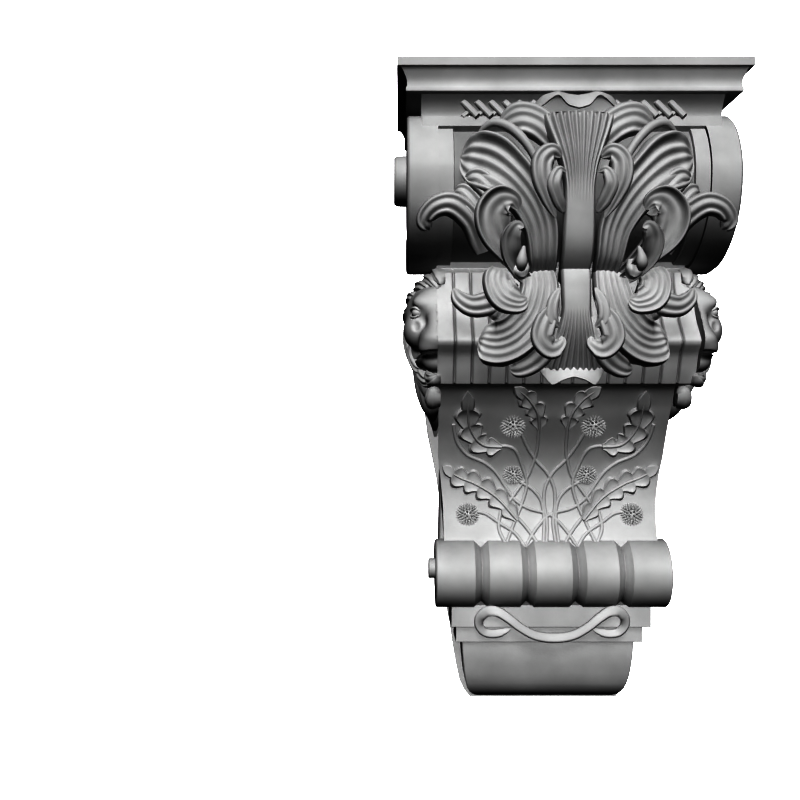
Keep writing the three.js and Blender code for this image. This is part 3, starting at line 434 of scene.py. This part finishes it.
# Ribs: upright V-grooves cut in the front of a block, which swells to a nose
grooves = [(x + shift, depth) for x in RIB_GROOVES for shift, depth in GROOVE_SECTION]
half_stations = [(TIER_HALF_WIDTH, 0)] + grooves
stations = [(-x, depth) for x, depth in half_stations] + half_stations[::-1]
console.append(grooved(TIER_FRONT, [(93.4, 325.2), (93.4, 446)], stations))

# Hollow panel and the core behind it, a little narrower towards the foot
smooth_panel = curve_through(PANEL_FRONT, 60)
side_line = [(BACK, 520), (121, 520), (122, 335)] + [tuple(row) for row in smooth_panel]
side_line += [(58, 120), (BACK, 106)]
width_rows = np.array(PANEL_WIDTHS)
console.append(loft([
    [(side * np.interp(height, width_rows[:, 0], width_rows[:, 1]), depth, height)
     for depth, height in side_line] for side in (-1, 1)]))

# Small roll: five drums between four chamfered grooves, and the eye of its scroll
roll_rows = [(SMALL_ROLL_RADIUS - 1, -115), (SMALL_ROLL_RADIUS, -114)]
for x in SMALL_ROLL_GROOVES:
    roll_rows += [(SMALL_ROLL_RADIUS, x - 7), (GROOVE_BOTTOM, x - 0.2), (GROOVE_BOTTOM, x + 0.2),
                  (SMALL_ROLL_RADIUS, x + 7)]
roll_rows += [(SMALL_ROLL_RADIUS, 114), (SMALL_ROLL_RADIUS - 1, 115)]
console.append(turned(roll_rows, SMALL_ROLL_CENTRE, 96))
console.append(turned(SCROLL_EYE, SCROLL_EYE_CENTRE, 48))

# Side scroll: three reeds run down the side and wind round the small roll
SCROLL_CENTRE = (55, 142)
SCROLL_ROWS = [
    (180, 35.5), (250, 35.5), (290, 35), (330, 33.5), (360, 33), (405, 31), (450, 30), (500, 28),
    (540, 26), (585, 24), (630, 22.5), (675, 20.5), (720, 18), (765, 15),
]
scroll_rows = np.array(SCROLL_ROWS)
scroll_angles = np.linspace(186, 765, 110)
scroll_radius = np.interp(scroll_angles, scroll_rows[:, 0], scroll_rows[:, 1])
scroll_inner = np.maximum(scroll_radius - 9.5 + np.maximum(0, (scroll_angles - 640) / 20), 11.5)
lead_outer = curve_through([(24, 292), (22.5, 262), (21, 230), (19.8, 190), (19.5, 150)], 24)[:-1]
lead_inner = curve_through([(61, 288), (53, 258), (47, 230), (43, 190), (36, 150), (29, 139)], 24)[:-1]
scroll_outer = [tuple(row) for row in lead_outer] + [
    on_circle(SCROLL_CENTRE, radius, angle) for radius, angle in zip(scroll_radius, scroll_angles)]
scroll_edge = [tuple(row) for row in lead_inner] + [
    on_circle(SCROLL_CENTRE, radius, angle) for radius, angle in zip(scroll_inner, scroll_angles)]
reach = np.linspace(0, 1, len(scroll_outer))
scroll_faces = FIELD_HALF_WIDTH - 6 + np.minimum(1, reach * 2.4) * 7.2
console += mirrored([reeded(scroll_outer, scroll_edge, reeds=3, faces=scroll_faces, rise=1.8, sunk=10)])

# Foot: two steps over a tongue whose front curves back to the wall. The tongue's rows are
# (height, half width, projection).
FOOT_STEPS = [
    (99.3, [(BACK, 108), (67.5, 108), (68, 107.5), (68, 86.5), (67.5, 86), (BACK, 86)]),
    (94, [(BACK, 88), (54.9, 88), (54.9, 68.5), (54.4, 68), (BACK, 68)]),
]
TONGUE_ROWS = [
    (71, 87.7, 45.4), (56, 87, 45), (48, 86.4, 44.1), (41, 85.7, 42.8), (33, 84.8, 40.8), (27, 83.8, 39),
    (21, 82.6, 36.2), (15, 80.6, 33), (11, 78.4, 30), (8, 76, 26.6), (6, 73.5, 23.6), (5, 71.5, 22),
]
console += [prism(outline, -half, half) for half, outline in FOOT_STEPS]
console.append(loft([
    [(-half, BACK, height), (-half, front - 1, height), (-half + 1, front, height),
     (half - 1, front, height), (half, front - 1, height), (half, BACK, height)]
    for height, half, front in TONGUE_ROWS]))


# Thistles: stems, toothed leaves and prickly heads in low relief, cut in the console's own stone on
# the hollow panel. Routes are (x, height) on the right half, and the panel gives the projection.
# Leaves also have a half width and a number of teeth; heads are (x, height, radius).
STEMS = [
    [(54, 266), (45, 266.5), (36.6, 263), (28.5, 247), (23, 228), (27.5, 209), (36.5, 188), (46, 166)],
    [(31.5, 280), (22, 262), (13, 250), (3.5, 240), (-4.5, 224), (-5.5, 208), (-3, 190), (-5, 166)],
    [(14, 286), (14.6, 262), (18, 247), (22, 236), (32, 222), (42, 208)],
    [(30, 230), (18, 223), (9, 212), (6, 195), (8, 166)],
    [(98, 288), (94.5, 272), (84, 258), (67, 250), (55, 240.5), (44, 224.5), (34, 211), (21, 203),
     (7.5, 199.5), (-2, 196), (-15.5, 182), (-26, 166)],
    [(73, 200), (64.5, 198), (51, 189), (35.5, 179), (26, 166)],
    [(49, 202), (51.5, 184), (45, 168)],
    [(34, 196), (22, 182), (12, 167)],
]
LEAVES = [
    ([(13.6, 283), (16.5, 298), (26, 312), (41, 324)], 11.5, 4),
    ([(50, 265.5), (69, 268), (82, 285), (85.5, 320)], 14, 5),
    ([(33, 192), (53, 214), (74, 227.5), (93, 235.5), (108, 246)], 13.5, 6),
]
HEADS = [(39.5, 287, 11.2), (37, 237.5, 9.4), (82.5, 197, 10.6)]
SPIKE_ROWS = 6
SPIKE_SECTION = ((0.78, 0.14), (0.98, 0.1), (1.16, 0.02))
PANEL_ROWS = np.array(sorted((height, depth) for depth, height in PANEL_FRONT))


def panel_route(route, proud):
    return [(x, z, np.interp(z, PANEL_ROWS[:, 0], PANEL_ROWS[:, 1]) + proud) for x, z in route]


def strip(route, half, crown=0.3, reeds=0, ridge=0.25, rim=0, keel=8, steps=40, facing=(0, 1, 0), teeth=0,
          tip=0.15, root=0, reed_from=0, fold=0):
    """A carved strip along (x, height, projection) points: a leaf's lobe, a lock or a stem.

    crown raises or, below zero, hollows it; reeds run along it; rim lifts its edge and its tip;
    teeth cut its sides; tip and root are the rounded shares of its length; keel is its depth
    below; fold tips it over to one side."""
    line = curve_through([(x, p, z) for x, z, p in route], steps + 1)
    t = np.linspace(0, 1, steps + 1)
    places = np.linspace(0, 1, len(half))
    width = curve_through(np.column_stack([places, half]), 4 * steps)
    width = np.maximum(np.interp(t, width[:, 0], width[:, 1]), 0.05)
    near_tip = np.clip((t - 1 + tip) / tip, 0, 1)
    width *= np.sqrt(np.maximum(1 - near_tip ** 2, 0.0009))
    if root:
        width *= np.sqrt(np.maximum(1 - np.clip(1 - t / root, 0, 1) ** 2, 0.0009))
    if teeth:
        notch = (t * teeth) % 1
        width *= (0.55 + 0.45 * np.sin(math.pi * notch ** 1.7) ** 0.8) * (1 - 0.5 * near_tip)
    along = np.gradient(line, axis=0)
    along /= np.linalg.norm(along, axis=1)[:, None]
    across = np.cross(along, facing)
    across /= np.linalg.norm(across, axis=1)[:, None]
    normal = np.cross(across, along)
    normal *= np.sign(normal @ np.array(facing, float))[:, None]
    s = np.linspace(-1, 1, max(10, reeds * 8) + 1)
    uneven = np.pi * ((s + 1) / 2 * reeds + 0.1 * np.sin(4.4 * s + reeds) * (1 - s ** 2))
    reed = np.sin(uneven) ** 2 if reeds else 0 * s
    edge = np.clip((np.abs(s) - 0.8) / 0.2, 0, 1)
    rimmed = np.exp(-((np.abs(s) - 0.86) / 0.12) ** 2)
    w = width[:, None]
    shown = np.clip((t[:, None] - reed_from) * 6, 0, 1) * (1 - 0.7 * near_tip[:, None] ** 2)
    swell = 1 - near_tip[:, None] ** 3
    tip_rim = np.exp(-((t[:, None] - 1 + 0.5 * tip) / (0.3 * tip)) ** 2)
    rise = crown * w * (1 - s ** 2) * swell - 0.28 * w * edge ** 2 + fold * w * s
    rise = rise + rim * np.maximum(rimmed * w, tip_rim * (1 - edge) * half[-1])
    if reeds:
        rise = rise + ridge * (2 * w / reeds) * reed * shown
    top = line[:, None] + across[:, None] * (s * w)[..., None] + normal[:, None] * rise[..., None]
    depth = keel * np.minimum(1, 0.25 + width / 12)[:, None]
    under = np.array([0.7, -0.7])
    low = line[:, None] + across[:, None] * (under * w)[..., None] - normal[:, None] * depth[..., None]
    return loft(np.concatenate([top, low], axis=1))


def prickly(x, z, radius):
    """A thistle's head: a ball with rows of small blunt spikes, half sunk in the panel."""
    centre = np.array(panel_route([(x, z)], -0.5)[0])[[0, 2, 1]]
    rings = []
    angles = np.linspace(0, 2 * math.pi, 24, endpoint=False)
    for turn in np.linspace(0.02, math.pi - 0.02, 14):
        level, size = math.cos(turn), math.sin(turn)
        rings.append(centre + 0.86 * radius * np.column_stack([
            np.cos(angles) * size, np.full(24, level), np.sin(angles) * size]))
    shells = [loft(rings)]
    for row in range(SPIKE_ROWS):
        tilt = math.radians(6 + 17 * row)
        count = max(1, round(6.3 * row + 1))
        for i in range(count):
            angle = 2 * math.pi * (i + 0.5 * (row % 2)) / count
            level, size = math.cos(tilt), math.sin(tilt)
            out = np.array([math.cos(angle) * size, level, math.sin(angle) * size])
            side = np.cross(out, (0.3, 0.1, 1))
            side /= np.linalg.norm(side)
            other = np.cross(out, side)
            corners = [side * math.cos(a) + other * math.sin(a)
                       for a in np.linspace(0, 2 * math.pi, 6, endpoint=False)]
            shells.append(loft([[centre + radius * (out * reach + thickness * corner) for corner in corners]
                                for reach, thickness in SPIKE_SECTION]))
    return shells


thistles = []
for route in STEMS:
    thistles.append(strip(panel_route(route, 3), [1.8, 1.8, 1.7], crown=0.5, keel=6, steps=36, tip=0.04))
for route, half, teeth in LEAVES:
    widths = [0.4 * half, 0.9 * half, half, half, 0.8 * half]
    thistles.append(strip(panel_route(route, 5.5), widths, crown=-0.14, rim=0.09, keel=10, steps=20 * teeth,
                          teeth=teeth, tip=0.28))
    thistles.append(strip(panel_route(route, 5), [1.7, 1.3, 0.8], crown=0.9, keel=3, steps=30, tip=0.2))
for x, z, radius in HEADS:
    thistles += prickly(x, z, radius)
console += mirrored(thistles)


# Laurel sprays: pointed leaves in pairs along thin stems, cut in relief on the console's sides.
# Rows are (side face, the stem's points as (projection, height), pairs of leaves, leaf length).
LEAF_SPREAD = 0.6
SPRAYS = [
    (SLAB_HALF_WIDTH, [(84, 484), (70, 512), (60, 546), (56, 562)], 5, 22),
    (SLAB_HALF_WIDTH, [(66, 540), (84, 556), (102, 569)], 2, 19),
    (FIELD_HALF_WIDTH, [(66, 442), (50, 450), (34, 472), (24, 494)], 5, 21),
    (FIELD_HALF_WIDTH, [(50, 434), (36, 422), (27, 398), (24, 372)], 4, 20),
]
sprays = []
for face, stem, pairs, length in SPRAYS:
    sprays.append(strip([(face + 1, z, p) for p, z in stem], [1.5, 1.2, 0.9], crown=0.8, keel=3, steps=24,
                        facing=(1, 0, 0)))
    line = curve_through(stem, 60)
    for i in range(pairs + 1):
        place = int(56 * i / (pairs + 0.4))
        heading = math.atan2(*(line[place + 2] - line[place])[::-1])
        for spread in (0.05,) if i == pairs else (-LEAF_SPREAD, LEAF_SPREAD):
            tip = line[place] + length * np.array([math.cos(heading + spread), math.sin(heading + spread)])
            bow = (line[place] + tip) / 2 + 0.08 * length * np.array([-math.sin(heading), math.cos(heading)])
            route = [(face + lift, z, p) for (p, z), lift in zip((line[place], bow, tip), (1, 3.2, 1.4))]
            sprays.append(strip(route, [1.2, 4.4, 0.8], crown=0.45, keel=4, steps=14, facing=(1, 0, 0)))
console += mirrored(sprays)

stone_piece("console_stone", console, ["console"])


# Upper acanthus leaf: a carving of its own in the same stone, applied over the roll. A smooth midrib
# opens into a fluted fan, a lip curls over at the top, and nine reeded lobes stand on each side,
# with a plain fold and a drop. Routes are (x, height, projection) on the right half.
UPPER_LOBES = [
    dict(route=[(11.9, 522, 200), (20.8, 534.6, 209), (32.2, 545.9, 213), (47, 551.5, 212), (66, 547, 205)],
         half=[8, 11.5, 14.5, 15, 12], reeds=4, ridge=0.22, crown=0.15, keel=20, tip=0.25),
    dict(route=[(27, 417, 188), (28.3, 433, 207), (32, 459, 217), (44, 482, 224), (61, 500.5, 225),
                (79, 513, 219), (99, 519, 206)],
         half=[11, 12.5, 15, 18, 22, 27, 24], reeds=5, ridge=0.3, crown=-0.14, rim=0.12, keel=26,
         tip=0.13, fold=0.1, steps=72),
    dict(route=[(33, 500, 222), (40.7, 519, 227), (50.8, 533, 226), (62, 542.5, 222), (73, 545.5, 217),
                (84, 540, 211)],
         half=[2, 3.2, 3.8, 4, 3.6, 2.6], crown=0.6, keel=14, tip=0.2, root=0.2, steps=40),
    dict(route=[(20, 464, 221), (28, 481, 228), (33, 497, 232), (32, 511, 232), (24.5, 517.5, 231),
                (16, 514, 228)],
         half=[3, 6, 8.5, 9.5, 9, 7], reeds=3, ridge=0.24, crown=0.22, rim=0.08, keel=18, tip=0.3,
         root=0.2, fold=-0.15),
    dict(route=[(13.5, 468, 224), (20.1, 479.9, 231), (23.5, 491.4, 235), (18.9, 501.6, 234), (13, 501, 231)],
         half=[4, 5.5, 6, 5, 3], reeds=2, ridge=0.22, crown=0.2, rim=0.12, keel=12, tip=0.3, root=0.2),
    dict(route=[(38, 416, 190), (49, 427, 208), (60.5, 438.5, 221), (69.5, 449.5, 230), (73, 459, 234),
                (72.6, 468.5, 236), (66, 476, 237), (57.5, 476, 235), (52.5, 470, 230)],
         half=[6, 8, 10.5, 13, 15, 16, 15, 11, 8], reeds=4, ridge=0.16, crown=-0.35, rim=0.2, keel=24,
         tip=0.25, fold=-0.1, steps=60),
    dict(route=[(40, 414, 196), (50, 423, 214), (57.5, 434, 228), (58.5, 447, 235), (53.5, 455.5, 237),
                (48.5, 454, 236)],
         half=[5, 7, 8.5, 9, 7.5, 5], reeds=2, ridge=0.14, crown=-0.4, rim=0.24, keel=14, tip=0.35),
    dict(route=[(47.5, 440, 228), (49, 433, 231), (49.8, 426, 231), (49.5, 419, 227)],
         half=[1.5, 3.5, 5, 5], crown=0.5, keel=16, tip=0.4, steps=30),
    dict(route=[(60, 468, 214), (73.3, 487.5, 219), (85.7, 498.7, 218), (96.1, 498.1, 212)],
         half=[8, 10, 10, 8], reeds=3, ridge=0.3, crown=0.05, rim=0.08, keel=20, tip=0.3),
    dict(route=[(76.1, 459.7, 206), (88.3, 478.2, 213), (97.6, 488.2, 212), (105, 489.5, 206)],
         half=[8, 9.5, 9, 6], reeds=3, ridge=0.3, crown=0.05, rim=0.08, keel=20, tip=0.3),
    dict(route=[(77.5, 440, 196), (90.1, 465.8, 209), (107.8, 477.8, 215), (121.4, 474.9, 214),
                (129.3, 465.4, 209), (125.4, 457.6, 203)],
         half=[8, 10.5, 10.5, 9.5, 8, 7], reeds=3, ridge=0.26, crown=0.22, rim=0.05, keel=14, tip=0.12,
         fold=0.2, steps=56),
]
# The midrib's rows are (height, projection, half width)
UPPER_MIDRIB = [
    (414, 186, 12.5), (424.5, 203, 13.2), (436, 213, 13.6), (446.5, 218, 13.6), (466.8, 222, 13.2),
    (487.3, 224, 12.8), (502, 224, 14.5), (520.9, 223, 20), (538.1, 220, 27), (554, 216, 33),
]
# The lip's crest and its free edge, as (share of the half width, height), its projections from
# root to free edge, and how far its first two points lie from the crest's height
UPPER_CREST = [(0, 571.5), (0.2, 572.6), (0.45, 574.4), (0.72, 572.6), (0.9, 568), (1, 562.3)]
UPPER_EDGE = [(0, 557.6), (0.22, 560), (0.48, 568.6), (0.65, 565.4), (0.8, 561.6), (1, 558.5)]
UPPER_REACH = (197, 203, 209, 215, 218.5)
UPPER_BEND = (-17, -2.2)


def lipped(crest, edge, reach, bend, half_width, thickness, stations=64):
    """A lip curled over across a leaf's tip: from its root over the crest and down to its free edge."""
    rings = []
    for s in np.linspace(-1, 1, stations + 1):
        top = np.interp(abs(s), *np.array(curve_through(crest, 40)).T)
        low = np.interp(abs(s), *np.array(curve_through(edge, 40)).T)
        out = np.array(reach) - (np.array(reach) - reach[0]) * 0.6 * s ** 4
        heights = (top + bend[0], top + bend[1], top, top + 0.4 * (low - top), low)
        line = curve_through(list(zip(out, heights)), 20)
        away = np.gradient(line, axis=0)
        away /= np.linalg.norm(away, axis=1)[:, None]
        thick = thickness * np.linspace(1, 0.35, 20)[:, None]
        inner = line - thick * np.column_stack([-away[:, 1], away[:, 0]])
        both = np.vstack([line, inner[::-1]])
        rings.append(np.column_stack([np.full(len(both), s * half_width), both]))
    return loft(rings)


def midrib(rows, reeds, reed_from, keel, ridge=0.5):
    return strip([(0, z, p) for z, p, _ in rows], [half for *_, half in rows], crown=0.16, reeds=reeds,
                 ridge=ridge, keel=keel, steps=64, tip=0.02, reed_from=reed_from)


upper_leaf = mirrored([strip(**lobe) for lobe in UPPER_LOBES])
upper_leaf.append(midrib(UPPER_MIDRIB, reeds=10, reed_from=0.5, keel=30))
upper_leaf.append(lipped(
    UPPER_CREST, UPPER_EDGE, UPPER_REACH, UPPER_BEND, half_width=37, thickness=4.5))
stone_piece("upper_acanthus_leaf_stone", upper_leaf, ["upper_acanthus_leaf"], crease=75)


# Lower acanthus leaf: a second carving in the same stone, applied so that it hangs over the ribs,
# its lobes bending outwards and its tip curled up
LOWER_LOBES = [
    dict(route=[(32, 430, 188), (31.5, 407, 206), (38, 385, 208), (52, 368, 204), (66, 362.2, 197),
                (82, 365, 188)],
         half=[15, 16.5, 18, 20, 21, 18], reeds=6, ridge=0.24, crown=0.05, rim=0.08, keel=24, tip=0.1,
         steps=60, fold=-0.1),
    dict(route=[(27, 392, 208), (36, 374, 208), (49, 359, 203), (64, 350.5, 195), (76, 350.5, 188)],
         half=[4, 7, 9, 10, 8], reeds=3, ridge=0.2, crown=0.15, rim=0.05, keel=24, tip=0.25),
    dict(route=[(17.9, 384.8, 199), (22.5, 363.1, 198), (33.6, 347.5, 191), (47.6, 339.8, 183),
                (54, 339.5, 179)],
         half=[7, 10, 11, 10, 8], reeds=3, ridge=0.24, crown=0.1, rim=0.06, keel=24, tip=0.3),
    dict(route=[(15.4, 398.5, 209), (26.1, 380.6, 213), (29.9, 365.1, 213), (21.9, 356.5, 210),
                (12.9, 361.6, 206), (12.5, 367, 205)],
         half=[3, 7.5, 10, 10, 7, 4], reeds=3, ridge=0.2, crown=0.1, rim=0.12, keel=16, tip=0.25, root=0.25,
         fold=0.1),
    dict(route=[(14.9, 408.2, 209), (21.4, 393.2, 213), (21.6, 380.7, 213), (15.1, 374.1, 210)],
         half=[2.5, 5, 5.5, 3.5], reeds=2, ridge=0.2, crown=0.2, rim=0.1, keel=10, tip=0.3, root=0.25),
    dict(route=[(64, 424, 202), (66.5, 413, 210), (61.7, 400.7, 216), (49.7, 396, 215), (43, 398.5, 212)],
         half=[10, 14, 14.5, 12, 8], reeds=5, ridge=0.18, crown=0.12, rim=0.1, keel=20, tip=0.25, fold=0.1),
    dict(route=[(61.5, 401.4, 199), (74.6, 395.2, 203), (88.6, 393.2, 202), (99.1, 399.5, 198),
                (104.2, 409.2, 192)],
         half=[9, 10.5, 9.5, 7.5, 5], reeds=3, ridge=0.22, crown=0.2, rim=0.05, keel=16, tip=0.25, fold=0.15),
    dict(route=[(61.8, 401.2, 201), (66.6, 389.6, 201), (70.7, 381.3, 196)],
         half=[8, 8.5, 8], reeds=3, ridge=0.24, crown=0.1, rim=0.06, keel=18, tip=0.4),
    dict(route=[(50, 432, 206), (48.5, 424, 213), (46.5, 416, 215)],
         half=[7, 8, 7.5], reeds=2, ridge=0.2, crown=0.15, rim=0.12, keel=16, tip=0.5),
]
LOWER_MIDRIB = [
    (432, 196, 12.5), (421.5, 205, 13), (405.9, 208, 12.8), (388.9, 208, 12.4), (372.1, 204, 14.5),
    (359.6, 198, 19), (348.7, 191, 24), (340, 185, 28),
]
LOWER_CREST = [(0, 344), (0.32, 343), (0.63, 341), (0.82, 342), (1, 345)]
LOWER_EDGE = [(0, 332.5), (0.3, 330), (0.63, 325.6), (0.82, 331), (1, 339.5)]
LOWER_REACH = (172, 181, 187.5, 192, 195)
LOWER_BEND = (2.5, 1.8)
lower_leaf = mirrored([strip(**lobe) for lobe in LOWER_LOBES])
lower_leaf.append(midrib(LOWER_MIDRIB, reeds=10, reed_from=0.42, keel=28))
lower_leaf.append(lipped(
    LOWER_CREST, LOWER_EDGE, LOWER_REACH, LOWER_BEND, half_width=29, thickness=4))
stone_piece("lower_acanthus_leaf_stone", lower_leaf, ["lower_acanthus_leaf"], crease=75)


# Lion heads: half a head of the same stone, applied to each side, its face looking forward and its
# mane swept back. Each form is an egg: (x, projection, height), three radii, and its tilt from
# level in degrees. The eggs melt together over a few millimetres, and the hollows are cut out.
LION_EGGS = [
    ((114, 117, 391), (32, 36, 31), 0),
    ((117, 140, 398), (19, 17, 17), -20),
    ((127, 148, 402), (10, 8, 5), -25),
    ((115, 160, 385), (10.5, 23, 8.5), -48),
    ((132, 134, 376), (15, 19, 17), 0),
    ((118, 160, 367), (14, 17, 12.5), -15),
    ((122, 164, 359), (11, 11.5, 8), 0),
    ((116, 174, 367), (9.5, 5.5, 4.5), 0),
    ((117, 155, 345), (11.5, 11.5, 8), 10),
    ((116, 136, 348), (19, 24, 10), 12),
    ((122, 112, 356), (20, 22, 20), 0),
]
LION_HOLLOWS = [
    ((141.5, 152, 393), (7.5, 8, 5.5), -20),
    ((122, 158, 353), (24, 19, 0.8), 6),
    ((138, 160, 380), (7, 10, 9), -40),
]
LION_EYE = ((134.6, 147.2, 391.8), (5.4, 5.4, 4.6), 0)
LION_AXIS = (107, 122)
LION_HEIGHTS = np.linspace(331, 424, 120)
LION_TURNS = np.radians(np.linspace(-50, 170, 130))
LION_REACH = np.linspace(1, 75, 190)
MELT = 2.4


def egg_distance(points, centre, radii, tilt):
    """Roughly how far points lie outside an egg."""
    turn = math.radians(tilt)
    x, p, z = np.moveaxis(points - np.array(centre), -1, 0)
    p, z = p * math.cos(turn) + z * math.sin(turn), z * math.cos(turn) - p * math.sin(turn)
    scaled = np.sqrt((x / radii[0]) ** 2 + (p / radii[1]) ** 2 + (z / radii[2]) ** 2)
    return (scaled - 1) * min(radii)


def lion_skin():
    """Level rings round an upright axis in the head, each out to where the melted eggs end."""
    reach = LION_REACH
    directions = np.column_stack([np.sin(LION_TURNS), np.cos(LION_TURNS)])
    flat = np.array(LION_AXIS) + directions[:, None] * reach[None, :, None]
    rings = []
    for height in LION_HEIGHTS:
        points = np.concatenate([flat, np.full(flat.shape[:2] + (1,), height)], axis=-1)
        solid = sum(np.exp(-egg_distance(points, *egg) / MELT) for egg in LION_EGGS)
        field = -MELT * np.log(solid + 1e-300)
        for hollow in LION_HOLLOWS:
            field = np.maximum(field, 0.6 - egg_distance(points, *hollow))
        field = np.minimum(field, egg_distance(points, *LION_EYE))
        inside = field < 0
        last = np.where(inside.any(axis=1), reach.size - 1 - np.argmax(inside[:, ::-1], axis=1), 0)
        last = np.clip(last, 0, reach.size - 2)
        rows = np.arange(len(LION_TURNS))
        near, far = field[rows, last], field[rows, last + 1]
        share = np.clip(near / np.where(near == far, 1, near - far), 0, 1)
        radius = np.where(inside.any(axis=1), reach[last] + share * (reach[1] - reach[0]), 0.5)
        ring = np.array(LION_AXIS) + directions * radius[:, None]
        ring[:, 0] = np.maximum(ring[:, 0], TIER_HALF_WIDTH + 0.2)
        rings.append(np.column_stack([ring, np.full(len(ring), height)]))
    return loft(rings)


# Locks, the ear and the lids: (x, height, projection) routes with half widths, and the locks' reeds
LION_LOCKS = [
    ([(116, 420, 98), (127, 402, 80), (130, 372, 69), (129, 340, 74), (125, 310, 68), (118, 290, 50)],
     [7, 13, 17, 16, 13, 5], 5),
    ([(116, 424, 84), (124, 398, 62), (126, 362, 50), (124, 328, 52), (120, 302, 46), (116, 280, 28)],
     [5, 10, 13, 13, 10, 4], 4),
    ([(115, 412, 66), (120, 384, 46), (121, 352, 36), (120, 322, 38), (118, 298, 32), (115, 274, 24)],
     [4, 8, 10, 10, 8, 3], 3),
    ([(115, 392, 46), (118, 362, 30), (118, 330, 26), (117, 300, 24), (115, 278, 26)], [3, 6, 8, 7, 3], 3),
    ([(124, 416, 106), (135, 396, 96), (138, 370, 92), (133, 344, 98), (126, 322, 96), (120, 306, 82)],
     [6, 10, 12, 11, 9, 4], 4),
    ([(130, 404, 112), (140, 388, 106), (142, 368, 106), (137, 348, 112), (129, 334, 112)],
     [5, 8, 9, 8, 4], 3),
    ([(134, 372, 116), (139, 356, 116), (134, 342, 124), (126, 336, 132)], [5, 8, 8, 4], 3),
    ([(128, 350, 116), (131, 338, 124), (127, 330, 136), (121, 328, 145)], [5, 8, 7, 3], 3),
    ([(119, 344, 132), (124, 334, 142), (122, 331, 153), (117, 335, 161)], [5, 7, 6.5, 3], 3),
    ([(119, 326, 112), (122, 314, 110), (119, 304, 98)], [6, 8, 3], 3),
    ([(120, 412, 134), (129, 417, 126), (133, 417, 114), (128, 414, 102)], [4, 7, 8, 4], 3),
    ([(116, 414, 142), (122, 421, 134), (126, 424, 122), (122, 424, 108)], [3, 6, 7, 4], 3),
    ([(114, 418, 146), (117, 426, 136), (118, 430, 122), (116, 430, 106)], [3, 6, 7, 4], 3),
    ([(131, 404, 128), (139, 408, 118), (140, 406, 106), (134, 400, 94)], [4, 7, 8, 4], 3),
    ([(136, 396, 124), (143, 394, 114), (142, 388, 102), (135, 380, 92)], [4, 7, 8, 4], 3),
]
LION_EAR = ([(128, 405, 112), (136, 413, 104), (138, 419.5, 94), (133, 422, 85)], [7, 10, 9.5, 5])
LION_LIDS = [
    ([(132, 393, 152.5), (137, 396, 151), (140, 395.4, 146), (140.4, 392.5, 141.5)], [1.2, 1.6, 1.5, 0.8]),
    ([(132.5, 389.6, 152), (137.5, 387.6, 150), (140.5, 388.4, 145.5), (140.4, 391, 141.5)],
     [0.8, 1.2, 1.1, 0.6]),
]
SIDEWAYS = (1, 0, 0)
HALF_FORWARD = (0.8, 0.6, 0)
lion = [lion_skin()]
lion += [strip(route, half, crown=0.42, reeds=reeds, ridge=0.34, keel=11, facing=SIDEWAYS, tip=0.3, root=0.2)
         for route, half, reeds in LION_LOCKS]
lion.append(strip(*LION_EAR, crown=-0.3, rim=0.25, keel=7, facing=HALF_FORWARD, tip=0.5))
lion += [strip(route, half, crown=0.8, keel=2, steps=24, facing=HALF_FORWARD, tip=0.2, root=0.2)
         for route, half in LION_LIDS]
stone_piece("lion_head_right_stone", lion, ["lion_head_right"], crease=70)
stone_piece("lion_head_left_stone", [(points * (-1, 1, 1), faces) for points, faces in lion],
            ["lion_head_left"], crease=70)


# Ribbon bow: one flat carved band of the same stone, which swings from loop to loop in front of
# the steps. Its right half is given as (x, height, projection).
RIBBON_HALF = [
    (0, 80.4, 86), (9, 80.8, 86), (20, 83.4, 86), (33.3, 90.6, 85.5), (45, 99.4, 84), (55, 105, 82),
    (65, 104.6, 79), (71.6, 97.6, 76), (71.8, 89, 73), (66.3, 82.4, 71), (57.4, 80.6, 70),
    (47.5, 82.4, 69), (40, 85.4, 68),
]
RIBBON_WIDTHS = [
    1.6, 3.4, 4.4, 4.4, 4.6, 5.2, 5.4, 5, 4.6, 4.4, 4.6, 4.8, 4.9, 4.8, 4.6, 4.4, 4.6, 5, 5.4, 5.2,
    4.6, 4.4, 4.4, 3.4, 1.6,
]
OUT_AND_UP = (0, 1, 0.45)
ribbon_route = [(-x, z, p) for x, z, p in reversed(RIBBON_HALF)] + RIBBON_HALF[1:]
ribbon = strip(ribbon_route, RIBBON_WIDTHS, crown=0.12, keel=5, steps=220, tip=0.02, root=0.02,
               facing=OUT_AND_UP)
stone_piece("ribbon_bow_stone", [ribbon], ["ribbon_bow"], crease=70)
